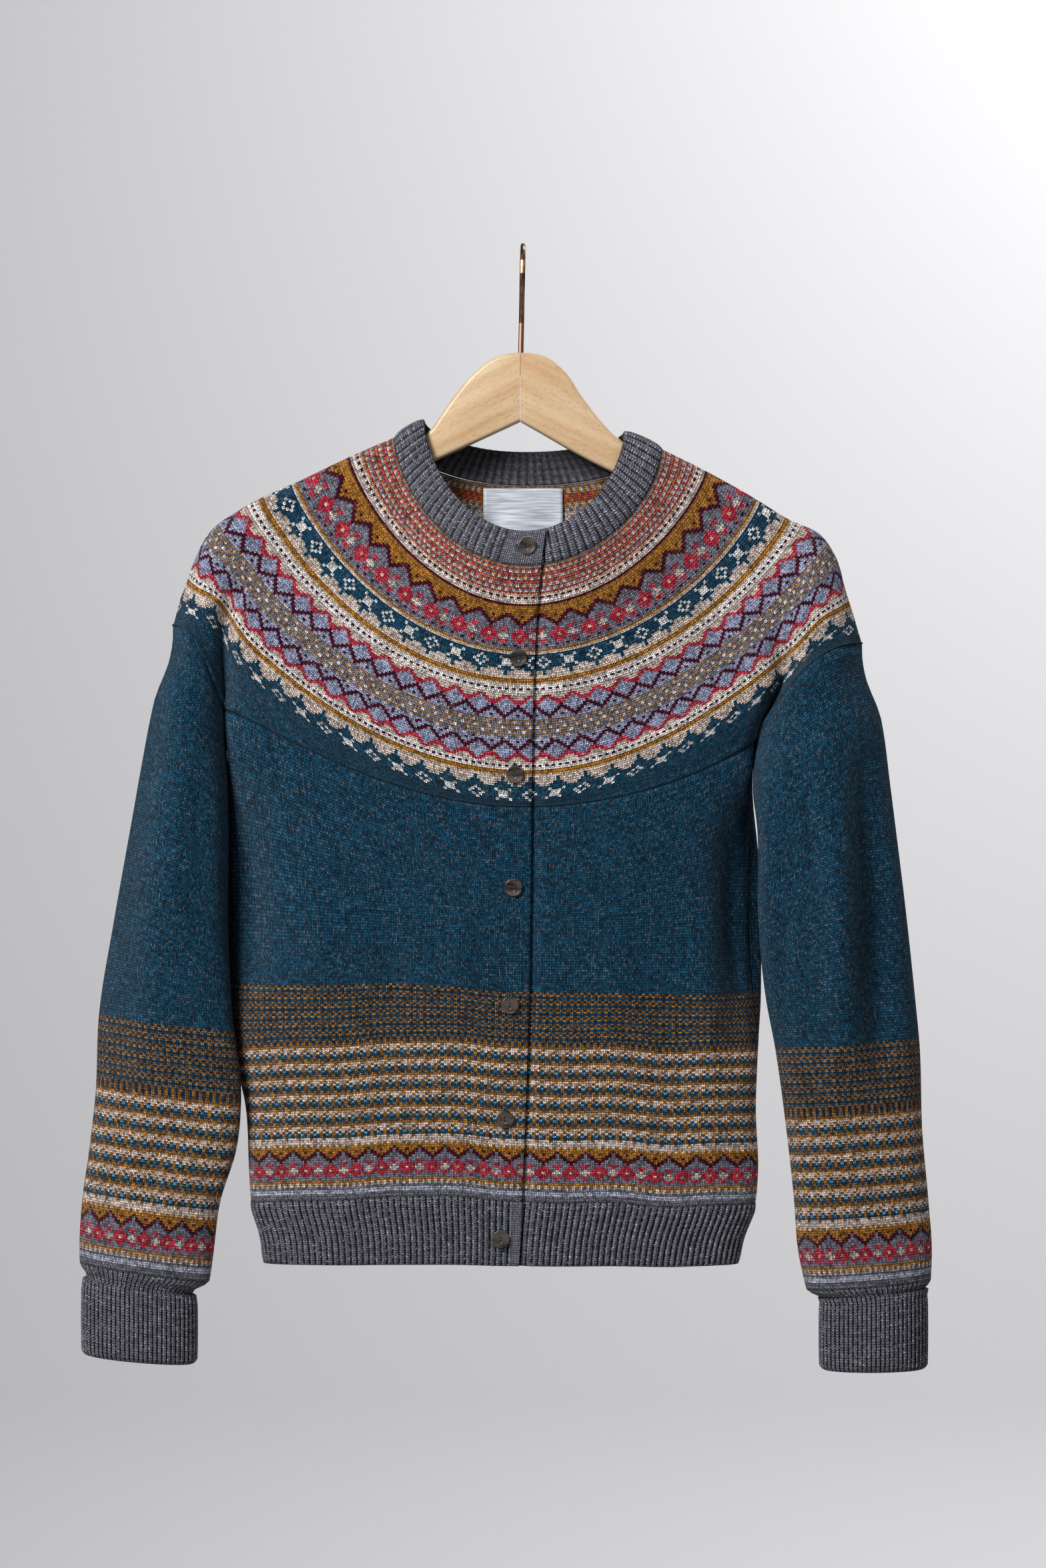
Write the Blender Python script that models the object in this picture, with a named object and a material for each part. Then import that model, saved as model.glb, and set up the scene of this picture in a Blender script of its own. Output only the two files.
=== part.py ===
"""Round-yoke knitted cardigan, buttoned up, hanging on a wooden hanger.

Metres, +Z up. The origin is the underside of the hook's crown. The front of the
garment faces -Y, and the wearer's right side lies on -X.

Each knitted piece is a thin wall. Its outer face is a grid of points: the rows run
from the neck down, the columns run from the front edge round to the back.
"""
import math

import bmesh
import bpy
import numpy as np
from mathutils import Vector

# ---------------------------------------------------------------- driving sizes
WALL = 0.0022            # thickness of the knitted cloth
SEAM = 0.0003            # gap between two sewn pieces
PIT_DROP = 0.0011        # the body's corner at the armpit lies this much lower still
LAYER_STEP = 0.0036      # the under front lies this far behind the upper one
BAND_STEP = 0.0010       # and this much further at the top of the thicker neckband
OVERLAP = 0.030          # how far the two fronts overlap
OVERLAP_EASE = 0.012     # the under front comes level within this distance

CENTRE_X = 0.0015        # middle of the neck
NECK_FRONT_Z = -0.2400   # front neck seam at the middle
NECK_BACK_Z = -0.1760    # back neck seam at the middle
YOKE_DEPTH = 0.1635      # patterned yoke, from the neck seam down
YOKE_SEAM_Z = -0.4183    # yoke seam at the middle of the front
YOKE_SEAM_BACK_Z = -0.3600
SHOULDER_ROUND = 0.0110  # round of the shoulder ridge over the hanger
HEAD_ROUND = 0.0360      # round of the ridge over the sleeve head
FRONT_SWELL = 0.0290     # how far the front stands out past the ridge round
BACK_SWELL = 0.0190
RIB_TOP_Z = -0.7110      # top of the hem rib
HEM_Z = -0.7590
BODY_CORNER = 3.0        # exponent of the body's flattened section
BODY_DEPTH = 0.0410      # half depth of the body at the yoke seam
BLEND_BODY = 0.090       # below the seam, the body finds its own section in this height
BLEND_SLEEVE = 0.055

RIB_HEIGHT = 0.0009      # how far a knitted rib stands up
HEM_RIB_PITCH = 0.00475
CUFF_RIB_PITCH = 0.0044
NECK_RIB_PITCH = 0.0053
NECK_WALL = 0.0028

BUTTON_RADIUS = 0.0065
BUTTON_THICK = 0.0022
BUTTON_HOLE_RADIUS = 0.0009
BUTTON_HOLE_SPREAD = 0.0017

WIRE_RADIUS = 0.0020
HOOK_INNER_RADIUS = 0.0195
HOOK_FOOT_Z = -0.0960    # foot of the wire, inside the board
HOOK_TURN_Z = -0.0560    # where the stem starts to bend
HOOK_JOIN_TURN = 222     # degrees round the crown, from the back
HOOK_TIP_TURN = -28
HOOK_REACH = 0.010       # how gently the stem bends into the crown
DRILL_CLEARANCE = 0.0004
DRILL_LENGTH = 0.0400
DRILL_BELOW_FOOT = 0.0005
BOARD_THICK = 0.0130
BOARD_EDGE_ROUND = 0.0040

LABEL_WIDTH = 0.060
LABEL_HEIGHT = 0.038
LABEL_THICK = 0.0006
LABEL_GAP = 0.0003       # between the yoke's inside and the label's top edge

# columns of a quarter of the yoke, from the middle to the shoulder ridge
BODY_COLUMNS = 14
SLEEVE_COLUMNS = 7
PIT_COLUMNS = 2
YOKE_ROWS = 6
TEAL_ROWS = 2
BODY_ROWS = 6
SLEEVE_ROWS = 11

# Shoulder ridge, from the neck seam outwards: x, z
RIDGE = {
    "right": [
        (-0.0960, -0.1415),
        (-0.1250, -0.1540),
        (-0.1670, -0.1740),
        (-0.2090, -0.1940),
        (-0.2355, -0.2140),
        (-0.2460, -0.2340),
        (-0.2530, -0.2540),
        (-0.2580, -0.2670),
        (-0.2620, -0.2840),
    ],
    "left": [
        (0.1045, -0.1507),
        (0.1315, -0.1640),
        (0.1680, -0.1840),
        (0.2010, -0.2040),
        (0.2220, -0.2140),
        (0.2355, -0.2340),
        (0.2410, -0.2540),
        (0.2475, -0.2750),
        (0.2540, -0.2970),
    ],
}
RIDGE_TO_YOKE_EDGE = {"right": 0.211, "left": 0.205}   # along the ridge, to the last cream row

# How full a row's curve is: distance down the yoke (0 neck, 1 last cream row), exponent
ROW_FULLNESS = {
    "right": [(0.0, 0.62), (0.18, 0.79), (0.39, 0.81), (1.0, 1.05)],
    "left": [(0.0, 0.62), (0.18, 0.79), (0.39, 0.81), (1.0, 1.20)],
}
BACK_FULLNESS = [(0.0, 0.60), (0.39, 0.80), (1.0, 1.05)]
HEAD_LIFT = {"right": 0.013, "left": 0.006}            # the rows ride up over the sleeve head

# Armpit, the end of the yoke seam: x, half width across, z
PIT = {
    "right": (-0.2220, 0.018, -0.3470),
    "left": (0.1720, 0.015, -0.3700),
}
SEAM_FULLNESS = {"right": 1.25, "left": 0.90}
PIT_SHARE = {"right": 0.19, "left": 0.27}              # part of a row beyond the armpit fold
PIT_FOLD = 0.014                                       # depth of that fold at the last cream row
PIT_FOLD_WIDTH = 0.010

# Front edge of the upper front: z, x
FRONT_EDGE = [
    (-0.760, -0.0030),
    (-0.665, 0.0010),
    (-0.560, 0.0045),
    (-0.420, 0.0062),
    (-0.300, 0.0090),
    (-0.245, 0.0130),
    (-0.208, 0.0180),
]

# Body: z, x of its right side, x of its left side, half depth, and how much further
# the back reaches out than the front on the right and on the left
BODY = [
    (-0.770, -0.1930, 0.1590, 0.0330, 0.000, 0.000),
    (-0.740, -0.1955, 0.1640, 0.0340, 0.000, 0.000),
    (-0.711, -0.2035, 0.1730, 0.0370, 0.000, 0.002),
    (-0.690, -0.2050, 0.1755, 0.0385, 0.000, 0.001),
    (-0.640, -0.2050, 0.1735, 0.0390, 0.006, 0.002),
    (-0.600, -0.2075, 0.1725, 0.0400, 0.018, 0.007),
    (-0.560, -0.2085, 0.1690, 0.0400, 0.024, 0.017),
    (-0.500, -0.2095, 0.1630, 0.0410, 0.026, 0.028),
    (-0.440, -0.2110, 0.1600, 0.0420, 0.025, 0.028),
    (-0.400, -0.2150, 0.1640, 0.0420, 0.013, 0.016),
    (-0.370, -0.2180, 0.1700, 0.0410, 0.003, 0.003),
    (-0.340, -0.2200, 0.1730, 0.0410, 0.000, 0.000),
]

# Sleeves: z, x of the outer side, x of the inner side, half depth, middle y, turn (radians)
SLEEVE = {
    "right": [
        (-0.790, -0.3300, -0.2380, 0.0230, -0.004, 0.10),
        (-0.765, -0.3315, -0.2330, 0.0240, -0.004, 0.15),
        (-0.750, -0.3320, -0.2310, 0.0260, -0.004, 0.20),
        (-0.714, -0.3300, -0.2260, 0.0290, -0.004, 0.35),
        (-0.674, -0.3245, -0.2135, 0.0320, -0.004, 0.50),
        (-0.634, -0.3200, -0.2095, 0.0350, -0.004, 0.60),
        (-0.574, -0.3175, -0.2160, 0.0410, -0.002, 0.55),
        (-0.504, -0.3065, -0.2200, 0.0490, 0.000, 0.50),
        (-0.434, -0.2940, -0.2205, 0.0550, 0.001, 0.45),
        (-0.350, -0.2785, -0.2235, 0.0520, 0.002, 0.15),
        (-0.284, -0.2620, -0.2230, 0.0440, 0.000, 0.00),
    ],
    "left": [
        (-0.800, 0.3030, 0.2180, 0.0230, -0.004, 0.10),
        (-0.776, 0.3050, 0.2110, 0.0250, -0.004, 0.15),
        (-0.750, 0.3060, 0.2055, 0.0270, -0.004, 0.20),
        (-0.714, 0.3035, 0.2025, 0.0300, -0.004, 0.25),
        (-0.664, 0.2990, 0.1970, 0.0330, -0.004, 0.30),
        (-0.594, 0.2965, 0.1870, 0.0360, -0.005, 0.40),
        (-0.564, 0.2935, 0.1810, 0.0380, -0.006, 0.50),
        (-0.504, 0.2870, 0.1745, 0.0410, -0.008, 0.60),
        (-0.434, 0.2785, 0.1735, 0.0430, -0.008, 0.65),
        (-0.401, 0.2745, 0.1700, 0.0450, -0.006, 0.55),
        (-0.360, 0.2695, 0.1740, 0.0450, -0.002, 0.30),
        (-0.297, 0.2540, 0.1790, 0.0420, 0.000, 0.00),
    ],
}

# Sleeve end and turned-back cuff, at the cuff's middle: z, slope across x, middle x, half width
CUFF = {
    "right": {
        "sleeve_end": (-0.7660, -0.140),
        "free_edge": (-0.7775, -0.140),
        "fold": (-0.8320, -0.090),
        "fold_x": (-0.3255, -0.2485),
        "depth": 0.0200,
    },
    "left": {
        "sleeve_end": (-0.7755, 0.073),
        "free_edge": (-0.7825, 0.073),
        "fold": (-0.8395, 0.010),
        "fold_x": (0.2980, 0.2265),
        "depth": 0.0200,
    },
}
CUFF_STAND = 0.0028      # the turned-back layer stands this far off the rib beneath
CUFF_PLY_GAP = 0.0006
CUFF_MIDDLE_Y = -0.0040
CUFF_FOLD_INSIDE = 0.0015     # the fold's inner and outer edges stand this much above its lowest line
CUFF_FOLD_OUTSIDE = 0.0035
CUFF_NARROWING = 7.0     # the rib draws the sleeve in within the first seventh of its length

# Neckband: upper edge at the two shoulders (x, z) and at the two middles (z)
BAND_TOP = {"right": (-0.0740, -0.1285), "left": (0.0755, -0.1375)}
BAND_TOP_FRONT_Z = -0.2140
BAND_TOP_BACK_Z = -0.1507
BAND_TOP_SWELL = {"front": 0.0250, "back": 0.0130}

# Buttons: x, z
BUTTONS = [
    (0.0030, -0.2255),
    (-0.0035, -0.3080),
    (-0.0060, -0.3945),
    (-0.0070, -0.4780),
    (-0.0095, -0.5650),
    (-0.0130, -0.6495),
    (-0.0165, -0.7385),
]

# Hanger board, upper and lower edges from the mitre outwards: x, z
BOARD = {
    "right": {
        "top": [
            (-0.0020, -0.0785),
            (-0.0240, -0.0835),
            (-0.0360, -0.0930),
            (-0.0480, -0.1065),
            (-0.0600, -0.1230),
            (-0.0700, -0.1370),
            (-0.0960, -0.1510),
            (-0.1250, -0.1590),
            (-0.1670, -0.1790),
            (-0.2000, -0.1945),
        ],
        "bottom": [
            (-0.0020, -0.1300),
            (-0.0625, -0.1580),
            (-0.0960, -0.1740),
            (-0.1400, -0.1900),
            (-0.2030, -0.2130),
        ],
    },
    "left": {
        "top": [
            (-0.0020, -0.0785),
            (0.0215, -0.0835),
            (0.0320, -0.0930),
            (0.0430, -0.1095),
            (0.0565, -0.1270),
            (0.0720, -0.1430),
            (0.1045, -0.1585),
            (0.1315, -0.1695),
            (0.1680, -0.1895),
            (0.1930, -0.2045),
        ],
        "bottom": [
            (-0.0020, -0.1300),
            (0.0640, -0.1665),
            (0.1040, -0.1840),
            (0.1500, -0.2030),
            (0.1960, -0.2230),
        ],
    },
}

SIDE_SIGN = {"right": -1.0, "left": 1.0}
FACE_SIGN = {"front": -1.0, "back": 1.0}

# Colours: red, green, blue (linear), roughness, metallic
FINISH = {
    "teal_wool": (0.020, 0.085, 0.120, 0.95, 0.0),
    "yoke_wool": (0.260, 0.170, 0.150, 0.95, 0.0),
    "grey_rib_wool": (0.120, 0.125, 0.140, 0.95, 0.0),
    "shell": (0.050, 0.045, 0.043, 0.25, 0.0),
    "beech": (0.560, 0.370, 0.210, 0.55, 0.0),
    "bronzed_wire": (0.300, 0.170, 0.100, 0.35, 1.0),
    "satin": (0.700, 0.690, 0.670, 0.40, 0.0),
}


# ---------------------------------------------------------------- curves
def ease(t):
    """0 at 0, 1 at 1, level at both ends."""
    t = np.clip(t, 0.0, 1.0)
    return t * t * (3.0 - 2.0 * t)


def through(xs, ys, x):
    """A smooth curve through the points (xs, ys), read at x."""
    xs = np.asarray(xs, float)
    ys = np.asarray(ys, float)
    x = np.clip(x, xs[0], xs[-1])
    slope = np.gradient(ys, xs)
    i = np.clip(np.searchsorted(xs, x) - 1, 0, len(xs) - 2)
    step = xs[i + 1] - xs[i]
    t = (x - xs[i]) / step
    start = ys[i] * (1 + 2 * t) * (1 - t) ** 2 + slope[i] * step * t * (1 - t) ** 2
    end = ys[i + 1] * t * t * (3 - 2 * t) + slope[i + 1] * step * t * t * (t - 1)
    return start + end


def column_of(table, number):
    return [row[number] for row in table]


def front_edge_x(z):
    return through(column_of(FRONT_EDGE, 0), column_of(FRONT_EDGE, 1), z)


def chord_lengths(points):
    """Distance along a line of points, from its start."""
    steps = np.linalg.norm(np.diff(points, axis=0), axis=1)
    return np.concatenate([[0.0], np.cumsum(steps)])


def along(points, shares):
    """Points at the given shares (0 to 1) of a line's length."""
    run = chord_lengths(points)
    at = np.asarray(shares) * run[-1]
    return np.stack([np.interp(at, run, points[:, k]) for k in range(points.shape[1])], axis=1)


def ridge_point(side, distance):
    points = np.array(RIDGE[side])
    run = chord_lengths(points)
    return through(run, points[:, 0], distance), through(run, points[:, 1], distance)


def layer_step(side, face, x, z):
    """The under front lies behind the upper one where they overlap."""
    if side == "left" and face == "front":
        step = LAYER_STEP + BAND_STEP * ease((z - NECK_FRONT_Z) / (BAND_TOP_FRONT_Z - NECK_FRONT_Z))
        return step * (1.0 - ease((x - front_edge_x(z)) / OVERLAP_EASE))
    return np.zeros_like(x)


def start_x(side, face, z):
    """Where a row starts: at the front edge, or at the middle of the back."""
    if face == "back":
        return CENTRE_X
    edge = front_edge_x(z)
    return edge if side == "right" else edge - OVERLAP


# ---------------------------------------------------------------- yoke rows
def split_row(points, share):
    """Even columns along a row, with one column at the armpit fold."""
    body = along_part(points, 0.0, 1.0 - share, BODY_COLUMNS)
    sleeve = along_part(points, 1.0 - share, 1.0, SLEEVE_COLUMNS)
    return np.concatenate([body, sleeve[1:]])


def along_part(points, start, end, columns):
    return along(points, np.linspace(start, end, columns + 1))


def round_and_swell(run, radius, swell):
    """How far the cloth stands off the hanger's plane, at a distance from the ridge."""
    near = 1.0 - np.minimum(run / radius, 1.0)
    return radius * np.sqrt(1.0 - near ** 2) + swell * ease(run / (0.8 * run.max()))


def row_quarter(side, face, ridge, middle_z, fullness, radius, swell, lift, fold, share):
    """One quarter of a row, from the front edge or the middle of the back to the ridge."""
    ridge_x, ridge_z = ridge
    first = (start_x(side, face, middle_z) - CENTRE_X) / (ridge_x - CENTRE_X)
    u = first + (1.0 - first) * np.sin(np.linspace(0.0, math.pi / 2, 400))
    x = CENTRE_X + u * (ridge_x - CENTRE_X)
    z = ridge_z - (ridge_z - middle_z) * np.clip(1.0 - u * u, 0.0, 1.0) ** fullness
    z = z + lift * np.exp(-((u - 0.90) / 0.055) ** 2)
    flat = np.stack([x, z], axis=1)
    from_ridge = chord_lengths(flat)[-1] - chord_lengths(flat)
    out = round_and_swell(from_ridge, radius, swell)
    out = out - layer_step(side, face, x, z)
    points = np.stack([x, FACE_SIGN[face] * out, z], axis=1)
    if fold > 0.0:
        run = chord_lengths(points)
        away = run - (1.0 - share) * run[-1]
        points[:, 1] -= FACE_SIGN[face] * fold * np.exp(-(away / PIT_FOLD_WIDTH) ** 2)
    return split_row(points, share)


def yoke_quarter_row(side, face, f):
    """Row f of the patterned yoke: 0 at the neck seam, 1 at the last cream row."""
    neck_z = NECK_FRONT_Z if face == "front" else NECK_BACK_Z
    table = ROW_FULLNESS[side] if face == "front" else BACK_FULLNESS
    swell = FRONT_SWELL if face == "front" else BACK_SWELL
    over_head = ease((f - 0.45) / 0.55)
    radius = SHOULDER_ROUND + (HEAD_ROUND - SHOULDER_ROUND) * over_head
    rest = BODY_DEPTH - HEAD_ROUND
    return row_quarter(
        side,
        face,
        ridge_point(side, f * RIDGE_TO_YOKE_EDGE[side]),
        neck_z - f * YOKE_DEPTH,
        through(column_of(table, 0), column_of(table, 1), f),
        radius,
        swell + (rest - swell) * over_head,
        HEAD_LIFT[side] * f ** 4,
        PIT_FOLD * ease((f - 0.70) / 0.30),
        PIT_SHARE[side],
    )


def seam_quarter(side, face):
    """A quarter of the yoke's lower seam: along the body, down into the armpit and up the sleeve."""
    sign = SIDE_SIGN[side]
    face_sign = FACE_SIGN[face]
    pit_x, pit_y, pit_z = PIT[side]
    middle_z = YOKE_SEAM_Z if face == "front" else YOKE_SEAM_BACK_Z
    fullness = SEAM_FULLNESS[side] if face == "front" else 1.0
    first = (start_x(side, face, middle_z) - CENTRE_X) / (pit_x - CENTRE_X)
    u = first + (1.0 - first) * np.sin(np.linspace(0.0, math.pi / 2, 400))
    x = CENTRE_X + u * (pit_x - CENTRE_X)
    z = pit_z - (pit_z - middle_z) * (1.0 - u * u).clip(0.0) ** fullness
    out = pit_y + (BODY_DEPTH - pit_y) * (1.0 - np.abs(u) ** BODY_CORNER).clip(0.0) ** (1 / BODY_CORNER)
    out = out - layer_step(side, face, x, z)
    body = np.stack([x, face_sign * out, z], axis=1)

    ridge_x, ridge_z = RIDGE[side][-1]
    depth = SLEEVE[side][-1][3]
    pit_turn = math.pi - math.asin(pit_y / depth)
    width = abs(ridge_x - pit_x) / (1.0 - math.cos(pit_turn))
    turn = np.linspace(pit_turn, 0.0, 200)
    drop = ((1.0 - np.cos(turn)) / (1.0 - math.cos(pit_turn))) ** 2.2
    sleeve = np.stack(
        [
            ridge_x - sign * width * (1.0 - np.cos(turn)),
            face_sign * depth * np.sin(turn),
            ridge_z + (pit_z - ridge_z) * drop,
        ],
        axis=1,
    )
    body_part = along_part(body, 0.0, 1.0, BODY_COLUMNS)
    sleeve_part = along_part(sleeve, 0.0, 1.0, SLEEVE_COLUMNS)
    return np.concatenate([body_part, sleeve_part[1:]])


def whole_row(quarter):
    """A row all round: right front edge, right ridge, back, left ridge, left front edge."""
    right_front = quarter("right", "front")
    right_back = quarter("right", "back")[::-1]
    left_back = quarter("left", "back")
    left_front = quarter("left", "front")[::-1]
    return np.concatenate([right_front, right_back[1:], left_back[1:], left_front[1:]])


QUARTER = BODY_COLUMNS + SLEEVE_COLUMNS
PIT_COLUMN = {
    ("right", "front"): BODY_COLUMNS,
    ("right", "back"): 2 * QUARTER - BODY_COLUMNS,
    ("left", "back"): 2 * QUARTER + BODY_COLUMNS,
    ("left", "front"): 4 * QUARTER - BODY_COLUMNS,
}


def yoke_grid():
    rows = []
    for number in range(YOKE_ROWS + 1):
        f = number / YOKE_ROWS
        rows.append(whole_row(lambda side, face: yoke_quarter_row(side, face, f)))
    last = rows[-1]
    seam = whole_row(seam_quarter)
    for number in range(1, TEAL_ROWS + 1):
        t = number / TEAL_ROWS
        rows.append(last * (1.0 - t) + seam * t)
    return np.array(rows)


# ---------------------------------------------------------------- surfaces and walls
def outward(grid, closed=False):
    """Unit normals of a grid: rows run down, columns run clockwise seen from above."""
    if closed:
        wide = np.concatenate([grid[:, -2:-1], grid, grid[:, 1:2]], axis=1)
        across = (wide[:, 2:] - wide[:, :-2])
    else:
        across = np.gradient(grid, axis=1)
    down = np.gradient(grid, axis=0)
    normal = np.cross(across, down)
    return normal / np.linalg.norm(normal, axis=2, keepdims=True)


def level(normals, row):
    """Turn one row's normals level, for an edge that another piece is sewn to."""
    normals[row, :, 2] = 0.0
    normals[row] /= np.linalg.norm(normals[row], axis=1, keepdims=True)


def finish(name):
    red, green, blue, roughness, metallic = FINISH[name]
    material = bpy.data.materials.get(name)
    if material is None:
        material = bpy.data.materials.new(name)
        material.use_nodes = True
        shader = material.node_tree.nodes["Principled BSDF"]
        shader.inputs["Base Color"].default_value = (red, green, blue, 1.0)
        shader.inputs["Roughness"].default_value = roughness
        shader.inputs["Metallic"].default_value = metallic
    return material


def add_object(name, vertices, faces, material):
    mesh = bpy.data.meshes.new(name)
    mesh.from_pydata([tuple(v) for v in vertices], [], faces)
    mesh.materials.append(finish(material))
    mesh.shade_smooth()
    mesh.set_sharp_from_angle(angle=math.radians(50))
    piece = bpy.data.objects.new(name, mesh)
    bpy.context.scene.collection.objects.link(piece)
    return piece


def wall(name, base, thickness, material, raised=None, normals=None, closed=False):
    """A cloth wall: the base grid is its outer face, raised by `raised` where there are ribs.

    A ribbed wall has a plain inside, with one column behind each rib.
    """
    if normals is None:
        normals = outward(base, closed)
    if closed:
        base = base[:, :-1]
        normals = normals[:, :-1]
    every = 1 if raised is None else 2
    outer = base if raised is None else base + normals * raised[..., None]
    inner = (base - normals * thickness)[:, ::every]
    rows, columns = outer.shape[:2]
    inner_columns = inner.shape[1]
    vertices = np.concatenate([outer.reshape(-1, 3), inner.reshape(-1, 3)])

    def out(i, j):
        return i * columns + j % columns

    def back(i, j):
        return rows * columns + i * inner_columns + j % inner_columns

    faces = []
    for i in range(rows - 1):
        for j in range(columns if closed else columns - 1):
            faces.append((out(i, j), out(i, j + 1), out(i + 1, j + 1), out(i + 1, j)))
        for j in range(inner_columns if closed else inner_columns - 1):
            faces.append((back(i, j), back(i + 1, j), back(i + 1, j + 1), back(i, j + 1)))
    for row in (0, rows - 1):
        ends = []
        for j in range(inner_columns if closed else inner_columns - 1):
            edge = [out(row, j * every + k) for k in range(every + 1)]
            ends.append((edge[0], back(row, j + 1), back(row, j)))
            ends += [(edge[k], edge[k + 1], back(row, j + 1)) for k in range(every)]
        faces += ends if row > 0 else [end[::-1] for end in ends]
    if not closed:
        for i in range(rows - 1):
            faces.append((out(i, 0), out(i + 1, 0), back(i + 1, 0), back(i, 0)))
            last, behind = columns - 1, inner_columns - 1
            faces.append((out(i + 1, last), out(i, last), back(i, behind), back(i + 1, behind)))
    return add_object(name, vertices, faces, material)


def add_yoke(grid, normals):
    """The yoke's wall, parted along the two shoulder ridges into its fronts and its back."""
    cuts = {
        "yoke_front_right": (0, QUARTER),
        "yoke_back": (QUARTER, 3 * QUARTER),
        "yoke_front_left": (3 * QUARTER, 4 * QUARTER),
    }
    for name, (first, last) in cuts.items():
        piece = grid[:, first: last + 1].copy()
        for end, inward, at_ridge in ((0, 1, first > 0), (-1, -2, last < 4 * QUARTER)):
            if at_ridge:
                along_row = piece[:, inward] - piece[:, end]
                along_row /= np.linalg.norm(along_row, axis=1, keepdims=True)
                piece[:, end] += along_row * SEAM / 2
        wall(name, piece, WALL, "yoke_wool", normals=normals[:, first: last + 1])


def below_seam(line, normals, gap=SEAM):
    """A line moved down past the seam, square to the line and to the cloth's normal."""
    tangent = np.gradient(line, axis=0)
    down = np.cross(normals, tangent)
    down /= np.linalg.norm(down, axis=1, keepdims=True)
    down *= np.where(down[:, 2:3] > 0.0, -1.0, 1.0)
    return line + down * gap


# ---------------------------------------------------------------- body
def body_section(side, face, z, shares):
    """Points of the body's section at height z, from the front edge or back middle to the side."""
    heights = column_of(BODY, 0)
    right_x = through(heights, column_of(BODY, 1), z)
    left_x = through(heights, column_of(BODY, 2), z)
    depth = through(heights, column_of(BODY, 3), z)
    middle = 0.5 * (right_x + left_x)
    side_x = right_x if side == "right" else left_x
    lean = through(heights, column_of(BODY, 4 if side == "right" else 5), z)
    first = start_x(side, face, z) - middle
    half = side_x - middle
    u = first / half + (1.0 - first / half) * np.sin(np.linspace(0.0, math.pi / 2, 300))
    x = middle + u * half
    out = depth * (1.0 - np.abs(u) ** BODY_CORNER).clip(0.0) ** (1 / BODY_CORNER)
    out = out - layer_step(side, face, x, z) * (out > SEAM)
    y = FACE_SIGN[face] * out
    x = x + SIDE_SIGN[side] * lean * (0.5 + 0.5 * y / depth) * np.abs(u) ** 4
    return along(np.stack([x, y], axis=1), shares)


def body_top(seam, normals, side, face):
    """The upper edge of one body quarter, from the front edge or back middle to the side seam."""
    pit = PIT_COLUMN[(side, face)]
    middle = {"right": {"front": 0, "back": 2 * QUARTER}, "left": {"front": 4 * QUARTER, "back": 2 * QUARTER}}
    start = middle[side][face]
    step = 1 if pit > start else -1
    pick = list(range(start, pit + step, step))
    line = below_seam(seam[pick], normals[pick])
    pit_x, pit_y, pit_z = PIT[side]
    side_x = pit_x - SIDE_SIGN[side] * SEAM / 2
    top_z = pit_z - SEAM - PIT_DROP
    line[-1] = (side_x, FACE_SIGN[face] * pit_y, top_z)
    extra = []
    for number in range(1, PIT_COLUMNS + 1):
        y = pit_y + (SEAM / 2 - pit_y) * number / PIT_COLUMNS
        extra.append((side_x, FACE_SIGN[face] * y, top_z))
    return np.concatenate([line, np.array(extra)])


def body_quarter(seam, normals, side, face):
    """Grid of one body quarter from the yoke seam down to the rib."""
    top = body_top(seam, normals, side, face)
    shares = chord_lengths(top) / chord_lengths(top)[-1]
    grid = []
    for number in range(BODY_ROWS + 1):
        t = (number / BODY_ROWS) ** 1.25
        z = top[:, 2] * (1.0 - t) + (RIB_TOP_Z + SEAM) * t
        points = np.zeros_like(top)
        for j, (height, share) in enumerate(zip(z, shares)):
            x, y = body_section(side, face, height, [share])[0]
            weight = float(ease((top[j, 2] - height) / BLEND_BODY))
            points[j] = (
                top[j, 0] * (1 - weight) + x * weight,
                top[j, 1] * (1 - weight) + y * weight,
                height,
            )
        points[-1, 1] = FACE_SIGN[face] * SEAM / 2
        grid.append(points)
    return np.array(grid)


def rib_wave(columns):
    """0 in a furrow, RIB_HEIGHT on a rib, a column each."""
    return np.where(np.arange(columns) % 2 == 1, RIB_HEIGHT, 0.0)


def rib_line(line, pitch):
    """A line of points set anew, two columns for each rib."""
    ribs = max(2, int(round(chord_lengths(line)[-1] / pitch)))
    return np.linspace(0.0, 1.0, 2 * ribs + 1)


def hem_rib(name, sections, top):
    """The ribbed welt below a body piece, from `top`, the piece's lower edge."""
    shares = rib_line(top, HEM_RIB_PITCH)
    upper = along(top, shares)
    upper[:, 2] = RIB_TOP_Z
    lower = along(sections(HEM_Z), shares)
    lower = np.column_stack([lower, np.full(len(shares), HEM_Z)])
    grid = np.array([upper, lower])
    raised = np.tile(rib_wave(len(shares)), (2, 1))
    raised[0] *= 0.3
    normals = outward(grid)
    for column in (0, -1):
        if abs(grid[-1, column, 1]) < SEAM:
            normals[:, column, 1] = 0.0
    normals /= np.linalg.norm(normals, axis=2, keepdims=True)
    level(normals, 0)
    wall(name, grid, WALL, "grey_rib_wool", raised=raised, normals=normals)
    return grid + normals * raised[..., None]


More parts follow.
